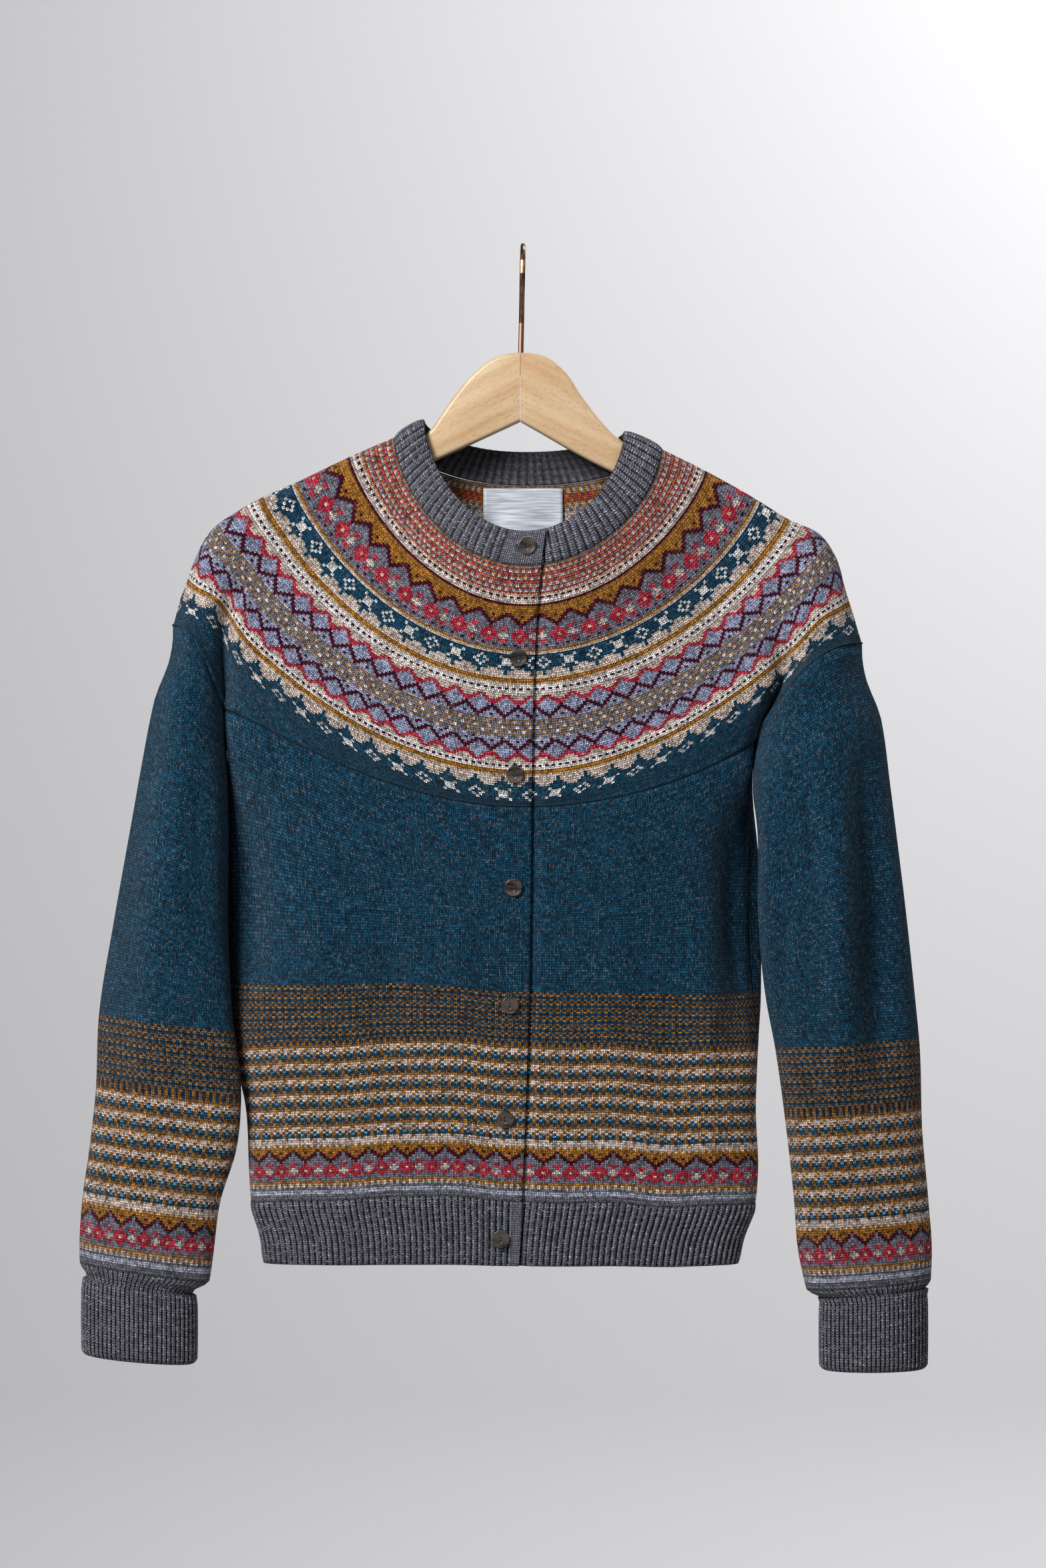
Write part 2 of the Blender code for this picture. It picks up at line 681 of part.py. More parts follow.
def add_body(seam, seam_normals):
    quarters = {}
    for side in ("right", "left"):
        for face in ("front", "back"):
            quarters[(side, face)] = body_quarter(seam, seam_normals, side, face)

    def normals_for(side, face):
        pit = PIT_COLUMN[(side, face)]
        if face == "front":
            return seam_normals[: pit + 1] if side == "right" else seam_normals[pit:][::-1]
        if side == "right":
            return seam_normals[pit: 2 * QUARTER + 1][::-1]
        return seam_normals[2 * QUARTER: pit + 1]

    def top_normals(grid, side, face, flipped):
        own = outward(grid)
        for j, shared in enumerate(normals_for(side, face)):
            column = grid.shape[1] - 1 - j if flipped else j
            if j != BODY_COLUMNS:
                own[0, column] = shared
            else:
                own[0, column, 2] = 0.0
        side_seam = 0 if flipped else -1
        own[:, side_seam, 1] = 0.0
        return own / np.linalg.norm(own, axis=2, keepdims=True)

    pieces = {}
    right = quarters[("right", "front")]
    pieces["front_right"] = (right, top_normals(right, "right", "front", False))
    left = quarters[("left", "front")][:, ::-1]
    pieces["front_left"] = (left, top_normals(left, "left", "front", True))

    right_back = quarters[("right", "back")][:, ::-1]
    left_back = quarters[("left", "back")]
    back = np.concatenate([right_back, left_back[:, 1:]], axis=1)
    own = outward(back)
    half = right_back.shape[1] - 1
    right_normals = top_normals(right_back, "right", "back", True)
    left_normals = top_normals(left_back, "left", "back", False)
    own[0] = np.concatenate([right_normals[0], left_normals[0, 1:]])
    own[:, 0] = right_normals[:, 0]
    own[:, -1] = left_normals[:, -1]
    own[0, half] = seam_normals[2 * QUARTER]
    pieces["back"] = (back, own)

    for name, (grid, normals) in pieces.items():
        level(normals, -1)
        wall(name, grid, WALL, "teal_wool", normals=normals)
    return {name: grid for name, (grid, normals) in pieces.items()}


def add_hem(body):
    shares = np.linspace(0.0, 1.0, 61)

    def half(side, face, z):
        line = body_section(side, face, z, shares)
        line[-1, 1] = FACE_SIGN[face] * SEAM / 2
        return line

    def back_line(z):
        return np.concatenate([half("right", "back", z)[::-1], half("left", "back", z)[1:]])

    hem_rib("hem_rib_front_left", lambda z: half("left", "front", z)[::-1], body["front_left"][-1])
    hem_rib("hem_rib_back", back_line, body["back"][-1])
    return hem_rib("hem_rib_front_right", lambda z: half("right", "front", z), body["front_right"][-1])


# ---------------------------------------------------------------- sleeves and cuffs
def sleeve_section(side, z, shares):
    """Points of a sleeve's section at height z, once round from the outer side by the front."""
    table = SLEEVE[side]
    heights = column_of(table, 0)
    outer_x, inner_x, depth, middle_y, turn = [through(heights, column_of(table, k), z) for k in range(1, 6)]
    a = np.linspace(0.0, 2.0 * math.pi, 241)
    half = 0.5 * (outer_x - inner_x)
    x = 0.5 * (outer_x + inner_x) + half * np.cos(a)
    y = middle_y - depth * np.sin(a - turn * np.sin(a / 2) ** 2)
    return along(np.stack([x, y], axis=1), shares)


def sleeve_top(seam, normals, side):
    """The sleeve's upper edge, once round from the outer side by the front, with its normals."""
    ridge = QUARTER if side == "right" else 3 * QUARTER
    front_pit = PIT_COLUMN[(side, "front")]
    back_pit = PIT_COLUMN[(side, "back")]
    step = -1 if side == "right" else 1
    front = list(range(ridge, front_pit + step, step))
    back = list(range(back_pit, ridge + step, step))
    lowered = below_seam(seam, normals)
    pit_x, pit_y, pit_z = PIT[side]
    inner_x = pit_x + SIDE_SIGN[side] * SEAM / 2
    line = [lowered[k] for k in front[:-1]]
    edge_normals = [normals[k] for k in front[:-1]]
    inward = np.array([-SIDE_SIGN[side], 0.0, 0.0])
    for number in range(2 * PIT_COLUMNS + 1):
        y = -pit_y + 2.0 * pit_y * number / (2 * PIT_COLUMNS)
        line.append(np.array([inner_x, y, pit_z - SEAM]))
        lean = np.array([0.0, 1.0, 0.0]) * (-1.0 if number == 0 else 1.0 if number == 2 * PIT_COLUMNS else 0.0)
        direction = inward + lean
        edge_normals.append(direction / np.linalg.norm(direction))
    line += [lowered[k] for k in back[1:]]
    edge_normals += [normals[k] for k in back[1:]]
    return np.array(line), np.array(edge_normals)


def sleeve_grid(side, top):
    end_z, slope = CUFF[side]["sleeve_end"]
    shares = chord_lengths(top) / chord_lengths(top)[-1]
    end_line = sleeve_section(side, end_z, shares)
    middle_x = 0.5 * (end_line[:, 0].max() + end_line[:, 0].min())
    end = end_z + slope * (end_line[:, 0] - middle_x)
    grid = []
    for number in range(SLEEVE_ROWS + 1):
        t = number / SLEEVE_ROWS
        t = t * (0.75 + 0.25 * t)
        z = top[:, 2] * (1.0 - t) + end * t
        points = np.zeros_like(top)
        for j, (height, share) in enumerate(zip(z, shares)):
            x, y = sleeve_section(side, height, [share])[0]
            weight = float(ease((top[j, 2] - height) / BLEND_SLEEVE))
            points[j] = (
                top[j, 0] * (1 - weight) + x * weight,
                top[j, 1] * (1 - weight) + y * weight,
                height,
            )
        points[-1] = points[0]
        grid.append(points)
    return np.array(grid)


def add_cuff(side, end_line):
    """The rib below the sleeve, turned back up over itself: a double wall with a free upper edge."""
    sizes = CUFF[side]
    pitch_shares = rib_line(end_line, CUFF_RIB_PITCH)
    top = along(end_line, pitch_shares)
    top[:, 2] -= SEAM
    outer_x, inner_x = sizes["fold_x"]
    middle = 0.5 * (outer_x + inner_x)
    half = 0.5 * (outer_x - inner_x)
    a = np.linspace(0.0, 2.0 * math.pi, 241)
    round_line = np.stack([middle + half * np.cos(a), CUFF_MIDDLE_Y - sizes["depth"] * np.sin(a)], axis=1)
    low = along(round_line, pitch_shares)
    fold_z, fold_slope = sizes["fold"]
    low = np.column_stack([low, fold_z + fold_slope * (low[:, 0] - middle)])
    edge_z, edge_slope = sizes["free_edge"]
    sleeve_middle = 0.5 * (top[:, 0].max() + top[:, 0].min())
    if side == "right":
        top = top[::-1]
        low = low[::-1]

    def tube_at(z_line):
        """The rib tube's points at given heights, between its top and its fold."""
        t = ((top[:, 2] - z_line) / (top[:, 2] - low[:, 2]))[:, None]
        narrow = ease(t * CUFF_NARROWING)
        base = top * (1.0 - narrow) + low * narrow
        base[:, 2] = z_line
        return base

    free = edge_z + edge_slope * (top[:, 0] - sleeve_middle)
    tube = np.array([top, tube_at(free), low])
    normals = outward(tube, closed=True)
    for row in range(3):
        level(normals, row)
    wave = rib_wave(len(pitch_shares))[:, None]
    stand = CUFF_STAND
    profile = [
        tube[0] - normals[0] * WALL,
        tube[1] - normals[1] * WALL,
        tube[2] - normals[2] * WALL + np.array([0.0, 0.0, CUFF_FOLD_INSIDE]),
        tube[2] + normals[2] * 0.3 * stand,
        tube[2] + normals[2] * (stand + wave) + np.array([0.0, 0.0, CUFF_FOLD_OUTSIDE]),
        tube[1] + normals[1] * (stand + CUFF_PLY_GAP + wave),
        tube[1] + normals[1] * CUFF_PLY_GAP,
        tube[0],
    ]
    rings = [ring[:-1] for ring in profile]
    count = len(rings[0])
    vertices = np.concatenate(rings)
    faces = []
    for i in range(len(rings)):
        following = (i + 1) % len(rings)
        for j in range(count):
            k = (j + 1) % count
            faces.append((i * count + j, i * count + k, following * count + k, following * count + j))
    cuff = add_object(f"cuff_{side}", vertices, faces, "grey_rib_wool")
    point_outwards(cuff)


def point_outwards(piece):
    shape = bmesh.new()
    shape.from_mesh(piece.data)
    bmesh.ops.recalc_face_normals(shape, faces=shape.faces)
    shape.to_mesh(piece.data)
    shape.free()


def add_sleeves(seam, seam_normals):
    for side in ("right", "left"):
        top, top_normals = sleeve_top(seam, seam_normals, side)
        grid = sleeve_grid(side, top)
        ordered = grid[:, ::-1] if side == "right" else grid
        edge = top_normals[::-1] if side == "right" else top_normals
        normals = outward(ordered, closed=True)
        normals[0] = edge
        level(normals, -1)
        wall(f"sleeve_{side}", ordered, WALL, "teal_wool", normals=normals, closed=True)
        add_cuff(side, grid[-1])


# ---------------------------------------------------------------- neckband
def band_top_row():
    def quarter(side, face):
        middle_z = BAND_TOP_FRONT_Z if face == "front" else BAND_TOP_BACK_Z
        return row_quarter(
            side, face, BAND_TOP[side], middle_z, 0.60, 0.0105, BAND_TOP_SWELL[face], 0.0, 0.0, PIT_SHARE[side]
        )

    return whole_row(quarter)


def add_neckband(neck_line, neck_normals):
    top_line = band_top_row()
    shares = rib_line(neck_line, NECK_RIB_PITCH)
    columns = len(neck_line)
    run = chord_lengths(neck_line)
    at = shares * run[-1]
    index = np.interp(at, run, np.arange(columns))

    def pick(line):
        return np.stack([np.interp(index, np.arange(columns), line[:, k]) for k in range(3)], axis=1)

    low = pick(neck_line)
    high = pick(top_line)
    edge_normals = pick(neck_normals)
    edge_normals /= np.linalg.norm(edge_normals, axis=1, keepdims=True)
    rise = high - low
    rise /= np.linalg.norm(rise, axis=1, keepdims=True)
    low = low + rise * SEAM
    middle = 0.5 * (low + high)
    grid = np.array([high, middle, low])
    normals = outward(grid)
    grid[1] += normals[1] * 0.0012
    normals = outward(grid)
    normals[2] = edge_normals
    raised = np.tile(rib_wave(len(shares)), (3, 1))
    raised[2] *= 0.3
    wall("neckband", grid, NECK_WALL, "grey_rib_wool", raised=raised, normals=normals)
    return grid + normals * raised[..., None]


# ---------------------------------------------------------------- buttons, label
def depth_at(grid, x, z):
    """y of a front grid at (x, z). Near the middle its rows run across x and step down in z."""
    heights = []
    depths = []
    for row in grid:
        order = np.argsort(row[:, 0])
        heights.append(np.interp(x, row[order, 0], row[order, 2]))
        depths.append(np.interp(x, row[order, 0], row[order, 1]))
    heights = np.array(heights)[::-1]
    return np.interp(z, heights, np.array(depths)[::-1])


def add_buttons(front_grid):
    cutter_mesh = bpy.data.meshes.new("button_holes")
    shape = bmesh.new()
    for offset in (-BUTTON_HOLE_SPREAD, BUTTON_HOLE_SPREAD):
        made = bmesh.ops.create_cone(
            shape, cap_ends=True, segments=6, radius1=BUTTON_HOLE_RADIUS, radius2=BUTTON_HOLE_RADIUS, depth=0.01
        )
        bmesh.ops.translate(shape, verts=made["verts"], vec=(0.0, offset, 0.0))
    shape.to_mesh(cutter_mesh)
    shape.free()

    button_mesh = bpy.data.meshes.new("button")
    shape = bmesh.new()
    bmesh.ops.create_cone(
        shape, cap_ends=True, segments=16, radius1=BUTTON_RADIUS, radius2=BUTTON_RADIUS, depth=BUTTON_THICK
    )
    rim = [e for e in shape.edges if len(e.link_faces) == 2 and any(len(f.verts) > 4 for f in e.link_faces)]
    bmesh.ops.bevel(shape, geom=rim, offset=0.0007, segments=1, affect="EDGES")
    shape.to_mesh(button_mesh)
    shape.free()

    button_mesh.materials.append(finish("shell"))
    button_mesh.shade_smooth()
    button_mesh.set_sharp_from_angle(angle=math.radians(35))
    for number, (x, z) in enumerate(BUTTONS, start=1):
        around = [(x, z)]
        for k in range(36):
            angle = k * math.pi / 18
            around.append((x + BUTTON_RADIUS * math.cos(angle), z + BUTTON_RADIUS * math.sin(angle)))
        nearest = min(depth_at(front_grid(z), px, pz) for px, pz in around)
        y = nearest - SEAM - BUTTON_THICK / 2
        button = bpy.data.objects.new(f"button_{number}", button_mesh.copy())
        button.location = (x, y, z)
        button.rotation_euler = (math.pi / 2, 0.0, 0.0)
        bpy.context.scene.collection.objects.link(button)
        cutter = bpy.data.objects.new(f"button_holes_{number}", cutter_mesh.copy())
        cutter.parent = button
        cutter.hide_render = True
        cutter.display_type = "WIRE"
        bpy.context.scene.collection.objects.link(cutter)
        holes = button.modifiers.new("holes", "BOOLEAN")
        holes.operation = "DIFFERENCE"
        holes.solver = "EXACT"
        holes.object = cutter


def add_label(yoke):
    """A satin strip sewn at the back neck seam, hanging free inside."""
    back_middle = yoke[0, 2 * QUARTER]
    back = slice(QUARTER, 3 * QUARTER + 1)
    ends = [np.interp(x, yoke[0, :, 0][back], yoke[0, :, 1][back]) for x in (-LABEL_WIDTH / 2, LABEL_WIDTH / 2)]
    y = min(*ends, back_middle[1]) - WALL - LABEL_GAP
    top = back_middle[2] - 0.0020
    corners = [
        (sx * LABEL_WIDTH / 2, y - LABEL_THICK * layer, top - LABEL_HEIGHT * low)
        for layer in (0, 1)
        for low in (0, 1)
        for sx in (-1, 1)
    ]
    faces = [(0, 1, 3, 2), (4, 6, 7, 5), (0, 4, 5, 1), (2, 3, 7, 6), (0, 2, 6, 4), (1, 5, 7, 3)]
    point_outwards(add_object("neck_label", corners, faces, "satin"))


# ---------------------------------------------------------------- hanger
def smooth_edge(points, samples):
    line = np.array(points)
    run = chord_lengths(line)
    at = np.linspace(0.0, run[-1], samples)
    return [(through(run, line[:, 0], s), through(run, line[:, 1], s)) for s in at]


def add_board(side):
    """One mitred half of the flat board, its long edges rounded."""
    top = smooth_edge(BOARD[side]["top"], 14)
    bottom = smooth_edge(BOARD[side]["bottom"], 6)
    sign = SIDE_SIGN[side]
    mitre = BOARD[side]["top"][0][0] + sign * SEAM / 2
    outline = [(mitre, top[0][1])] + top[1:]
    tip_top, tip_low = Vector(top[-1]), Vector(bottom[-1])
    centre = (tip_top + tip_low) / 2
    arm = (tip_top - centre)
    for k in range(1, 5):
        turn = math.pi * k / 5
        out = Vector((-arm.y, arm.x))
        if out.x * sign < 0:
            out = -out
        outline.append(tuple(centre + arm * math.cos(turn) + out * math.sin(turn) * 0.6))
    outline += bottom[::-1][:-1] + [(mitre, bottom[0][1])]
    shape = bmesh.new()
    front = [shape.verts.new((x, -BOARD_THICK / 2, z)) for x, z in outline]
    back = [shape.verts.new((x, BOARD_THICK / 2, z)) for x, z in outline]
    count = len(outline)
    caps = [shape.faces.new(front), shape.faces.new(back[::-1])]
    for k in range(count):
        n = (k + 1) % count
        shape.faces.new((front[n], front[k], back[k], back[n]))
    bmesh.ops.recalc_face_normals(shape, faces=shape.faces)
    rims = [e for e in caps[0].edges] + [e for e in caps[1].edges]
    rims = [e for e in rims if not all(abs(v.co.x - mitre) < 1e-6 for v in e.verts)]
    bmesh.ops.bevel(shape, geom=rims, offset=BOARD_EDGE_ROUND, segments=2, affect="EDGES", clamp_overlap=True)
    mesh = bpy.data.meshes.new(f"hanger_board_{side}")
    shape.to_mesh(mesh)
    shape.free()
    mesh.materials.append(finish("beech"))
    mesh.shade_smooth()
    mesh.set_sharp_from_angle(angle=math.radians(50))
    board = bpy.data.objects.new(f"hanger_board_{side}", mesh)
    bpy.context.scene.collection.objects.link(board)
    drill = board.modifiers.new("hook_hole", "BOOLEAN")
    drill.operation = "DIFFERENCE"
    drill.solver = "EXACT"
    drill.object = hook_drill()


def hook_drill():
    name = "hook_drill"
    if name not in bpy.data.objects:
        radius = WIRE_RADIUS + DRILL_CLEARANCE
        shape = bmesh.new()
        bmesh.ops.create_cone(
            shape, cap_ends=True, segments=16, radius1=radius, radius2=radius, depth=DRILL_LENGTH
        )
        mesh = bpy.data.meshes.new(name)
        shape.to_mesh(mesh)
        shape.free()
        drill = bpy.data.objects.new(name, mesh)
        drill.location = (BOARD["right"]["top"][0][0], 0.0, HOOK_FOOT_Z - DRILL_BELOW_FOOT + DRILL_LENGTH / 2)
        drill.hide_render = True
        drill.display_type = "WIRE"
        bpy.context.scene.collection.objects.link(drill)
    return bpy.data.objects[name]


def add_hook():
    """Bent wire: up from the board, out in front, over the top and down behind."""
    radius = HOOK_INNER_RADIUS + WIRE_RADIUS
    centre_z = WIRE_RADIUS - radius
    foot_x = BOARD["right"]["top"][0][0]
    points = [(0.0, HOOK_FOOT_Z), (0.0, HOOK_TURN_Z)]
    join = math.radians(HOOK_JOIN_TURN)
    meet = Vector((radius * math.cos(join), centre_z + radius * math.sin(join)))
    heading = Vector((-math.sin(join), math.cos(join)))
    low = Vector((0.0, HOOK_TURN_Z))
    reach = HOOK_REACH
    for k in range(1, 7):
        t = k / 7
        a, b = low + Vector((0.0, reach)), meet + heading * reach
        spot = low * (1 - t) ** 3 + a * 3 * t * (1 - t) ** 2 + b * 3 * t * t * (1 - t) + meet * t ** 3
        points.append(tuple(spot))
    for k in range(21):
        turn = math.radians(HOOK_JOIN_TURN + (HOOK_TIP_TURN - HOOK_JOIN_TURN) * k / 20)
        points.append((radius * math.cos(turn), centre_z + radius * math.sin(turn)))
    curve = bpy.data.curves.new("hanger_hook", "CURVE")
    curve.dimensions = "3D"
    curve.bevel_depth = WIRE_RADIUS
    curve.bevel_resolution = 2
    curve.use_fill_caps = True
    line = curve.splines.new("POLY")
    line.points.add(len(points) - 1)
    for point, (y, z) in zip(line.points, points):
        lean = min(1.0, max(0.0, z / HOOK_FOOT_Z))
        point.co = (foot_x * lean, y, z, 1.0)
    curve.materials.append(finish("bronzed_wire"))
    hook = bpy.data.objects.new("hanger_hook", curve)
    bpy.context.scene.collection.objects.link(hook)


# ---------------------------------------------------------------- build
def main():
    for old in list(bpy.data.objects):
        bpy.data.objects.remove(old, do_unlink=True)

    yoke = yoke_grid()
    yoke_normals = outward(yoke)
    level(yoke_normals, -1)
    add_yoke(yoke, yoke_normals)
    body = add_body(yoke[-1], yoke_normals[-1])
    hem = add_hem(body)
    add_sleeves(yoke[-1], yoke_normals[-1])
    band = add_neckband(yoke[0], yoke_normals[0])

    upper_yoke = yoke[:, : BODY_COLUMNS + 1]
    upper_band = band[:, : band.shape[1] // 5]

    def front_grid(z):
        """The piece that a button at height z is sewn over."""
        if z > NECK_FRONT_Z:
            return upper_band
        if z > YOKE_SEAM_Z:
            return upper_yoke
        return body["front_right"] if z > RIB_TOP_Z else hem

    add_buttons(front_grid)
    add_label(yoke)
    add_board("right")
    add_board("left")
    add_hook()


main()
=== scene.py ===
import math

import bmesh
import bpy
import numpy as np
from mathutils import Matrix, Vector


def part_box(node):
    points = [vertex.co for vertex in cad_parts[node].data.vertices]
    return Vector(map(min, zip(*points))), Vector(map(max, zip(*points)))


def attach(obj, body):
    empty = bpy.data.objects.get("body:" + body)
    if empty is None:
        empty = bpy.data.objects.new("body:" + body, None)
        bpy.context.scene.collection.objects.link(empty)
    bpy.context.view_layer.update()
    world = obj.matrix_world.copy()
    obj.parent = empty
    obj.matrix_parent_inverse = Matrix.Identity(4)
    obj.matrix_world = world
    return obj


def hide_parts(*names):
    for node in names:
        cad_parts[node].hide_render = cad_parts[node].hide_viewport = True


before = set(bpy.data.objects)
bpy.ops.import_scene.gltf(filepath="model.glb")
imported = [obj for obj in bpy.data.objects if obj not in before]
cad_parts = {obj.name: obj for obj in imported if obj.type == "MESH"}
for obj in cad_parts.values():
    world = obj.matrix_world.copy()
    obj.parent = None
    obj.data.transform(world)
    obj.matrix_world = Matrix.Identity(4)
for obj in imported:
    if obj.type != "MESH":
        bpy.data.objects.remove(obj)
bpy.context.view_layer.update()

# ---- yoke: its form
# The yoke is knitted in the round from the neck down, from soft two-ply lambswool. Its rows
# hang in deep curves from the shoulder ridge, which lies on the hanger, and end at the seam
# that joins it to the body and, past the armpits, to the sleeves.
CENTRE_X = 0.0015
NECK_FRONT_Z = -0.24
NECK_BACK_Z = -0.176
YOKE_DEPTH = 0.1635
YOKE_SEAM_Z = -0.4183
YOKE_SEAM_BACK_Z = -0.36
SHOULDER_ROUND = 0.011
HEAD_ROUND = 0.036
FRONT_SWELL = 0.029
BACK_SWELL = 0.019
BODY_DEPTH = 0.041
BODY_CORNER = 3.0
OVERLAP = 0.03
OVERLAP_EASE = 0.01
LAYER_STEP = 0.0036
BAND_STEP = 0.001
BAND_TOP_FRONT_Z = -0.214
PIT_FOLD = 0.014
PIT_FOLD_WIDTH = 0.01
WALE = 0.0025
RIDGE = {
    "right": [
        (-0.096, -0.1415), (-0.125, -0.154), (-0.167, -0.174), (-0.209, -0.194), (-0.2355, -0.214),
        (-0.246, -0.234), (-0.253, -0.254), (-0.258, -0.267), (-0.262, -0.284),
    ],
    "left": [
        (0.1045, -0.1507), (0.1315, -0.164), (0.168, -0.184), (0.201, -0.204), (0.222, -0.214),
        (0.2355, -0.234), (0.241, -0.254), (0.2475, -0.275), (0.254, -0.297),
    ],
}
RIDGE_TO_YOKE_EDGE = {"right": 0.211, "left": 0.205}
ROW_FULLNESS = {
    "right": [(0.0, 0.62), (0.18, 0.79), (0.39, 0.81), (1.0, 1.05)],
    "left": [(0.0, 0.62), (0.18, 0.79), (0.39, 0.81), (1.0, 1.2)],
}
BACK_FULLNESS = [(0.0, 0.6), (0.39, 0.8), (1.0, 1.05)]
HEAD_LIFT = {"right": 0.013, "left": 0.006}
PIT = {"right": (-0.222, 0.018, -0.347), "left": (0.172, 0.015, -0.37)}
SEAM_FULLNESS = {"right": 1.25, "left": 0.9}
PIT_SHARE = {"right": 0.19, "left": 0.27}
FRONT_EDGE = [
    (-0.76, -0.003), (-0.665, 0.001), (-0.56, 0.0045), (-0.42, 0.0062), (-0.3, 0.009),
    (-0.245, 0.013), (-0.208, 0.018),
]
SLEEVE_HEAD_DEPTH = {"right": 0.044, "left": 0.042}
SIDE = {"right": -1.0, "left": 1.0}
FACE = {"front": -1.0, "back": 1.0}
QUARTERS = [("right", "front"), ("right", "back"), ("left", "back"), ("left", "front")]


def ease(t):
    t = np.clip(t, 0.0, 1.0)
    return t * t * (3.0 - 2.0 * t)


def through(table, x, column=1):
    """A smooth curve through one column of a table, read at x."""
    xs = np.array([row[0] for row in table], float)
    ys = np.array([row[column] for row in table], float)
    x = np.clip(x, xs[0], xs[-1])
    slope = np.gradient(ys, xs)
    i = np.clip(np.searchsorted(xs, x) - 1, 0, len(xs) - 2)
    step = xs[i + 1] - xs[i]
    t = (x - xs[i]) / step
    start = ys[i] * (1 + 2 * t) * (1 - t) ** 2 + slope[i] * step * t * (1 - t) ** 2
    return start + ys[i + 1] * t * t * (3 - 2 * t) + slope[i + 1] * step * t * t * (t - 1)


def run_of(points):
    steps = np.linalg.norm(np.diff(points, axis=0), axis=1)
    return np.concatenate([[0.0], np.cumsum(steps)])


def along(points, shares):
    """Points at the given shares (0 to 1) of a line's length."""
    run = run_of(points)
    at = np.asarray(shares) * run[-1]
    return np.stack([np.interp(at, run, points[:, k]) for k in range(points.shape[1])], axis=1)


def front_edge_x(z):
    return through(FRONT_EDGE, z)


def layer_step(side, face, x, z):
    """The under front lies behind the upper one where they overlap."""
    if side == "right" or face == "back":
        return np.zeros_like(x)
    step = LAYER_STEP + BAND_STEP * ease((z - NECK_FRONT_Z) / (BAND_TOP_FRONT_Z - NECK_FRONT_Z))
    return step * (1.0 - ease((x - front_edge_x(z)) / OVERLAP_EASE))


def start_x(side, face, z):
    if face == "back":
        return CENTRE_X
    return front_edge_x(z) - (OVERLAP if side == "left" else 0.0)


def row_quarter(side, face, ridge, middle_z, fullness, radius, swell, lift=0.0, fold=0.0):
    """One quarter of a row, as a dense line from the front edge or back middle to the ridge."""
    ridge_x, ridge_z = ridge
    first = (start_x(side, face, middle_z) - CENTRE_X) / (ridge_x - CENTRE_X)
    u = first + (1.0 - first) * np.sin(np.linspace(0.0, math.pi / 2, 500))
    x = CENTRE_X + u * (ridge_x - CENTRE_X)
    z = ridge_z - (ridge_z - middle_z) * np.clip(1.0 - u * u, 0.0, 1.0) ** fullness
    z = z + lift * np.exp(-((u - 0.9) / 0.055) ** 2)
    run = run_of(np.stack([x, z], axis=1))
    run = run[-1] - run
    near = 1.0 - np.minimum(run / radius, 1.0)
    out = radius * np.sqrt(1.0 - near ** 2) + swell * ease(run / (0.8 * run.max()))
    points = np.stack([x, FACE[face] * (out - layer_step(side, face, x, z)), z], axis=1)
    away = run_of(points) - (1.0 - PIT_SHARE[side]) * run_of(points)[-1]
    points[:, 1] -= FACE[face] * fold * np.exp(-(away / PIT_FOLD_WIDTH) ** 2)
    return points


def yoke_line(side, face, f):
    """A quarter of row f: 0 at the neck seam, 1 at the last cream row."""
    table = ROW_FULLNESS[side] if face == "front" else BACK_FULLNESS
    swell = FRONT_SWELL if face == "front" else BACK_SWELL
    ridge = np.array(RIDGE[side])
    by_run = np.column_stack([run_of(ridge), ridge])
    at = f * RIDGE_TO_YOKE_EDGE[side]
    over_head = ease((f - 0.45) / 0.55)
    return row_quarter(
        side, face,
        (through(by_run, at, 1), through(by_run, at, 2)),
        (NECK_FRONT_Z if face == "front" else NECK_BACK_Z) - f * YOKE_DEPTH,
        through(table, f),
        SHOULDER_ROUND + (HEAD_ROUND - SHOULDER_ROUND) * over_head,
        swell + (BODY_DEPTH - HEAD_ROUND - swell) * over_head,
        HEAD_LIFT[side] * f ** 4,
        PIT_FOLD * ease((f - 0.7) / 0.3),
    )


def seam_lines(side, face):
    """The yoke's lower seam: along the body to the armpit, then up round the sleeve's head."""
    pit_x, pit_y, pit_z = PIT[side]
    middle_z = YOKE_SEAM_Z if face == "front" else YOKE_SEAM_BACK_Z
    fullness = SEAM_FULLNESS[side] if face == "front" else 1.0
    first = (start_x(side, face, middle_z) - CENTRE_X) / (pit_x - CENTRE_X)
    u = first + (1.0 - first) * np.sin(np.linspace(0.0, math.pi / 2, 500))
    x = CENTRE_X + u * (pit_x - CENTRE_X)
    z = pit_z - (pit_z - middle_z) * (1.0 - u * u).clip(0.0) ** fullness
    out = pit_y + (BODY_DEPTH - pit_y) * (1.0 - np.abs(u) ** BODY_CORNER).clip(0.0) ** (1 / BODY_CORNER)
    body = np.stack([x, FACE[face] * (out - layer_step(side, face, x, z)), z], axis=1)
    ridge_x, ridge_z = RIDGE[side][-1]
    depth = SLEEVE_HEAD_DEPTH[side]
    pit_turn = math.pi - math.asin(pit_y / depth)
    turn = np.linspace(pit_turn, 0.0, 300)
    share = (1.0 - np.cos(turn)) / (1.0 - math.cos(pit_turn))
    sleeve = np.stack([
        ridge_x - SIDE[side] * abs(ridge_x - pit_x) * share,
        FACE[face] * depth * np.sin(turn),
        ridge_z + (pit_z - ridge_z) * share ** 2.2,
    ], axis=1)
    return body, sleeve


def ring_counts(f, wale=WALE):
    """Stitches in each quarter of row f: up to the armpit, and past it."""
    counts = {}
    for side, face in QUARTERS:
        stitches = round(run_of(yoke_line(side, face, f))[-1] / wale)
        before = round(stitches * (1.0 - PIT_SHARE[side]))
        counts[(side, face)] = (before, stitches - before)
    return counts


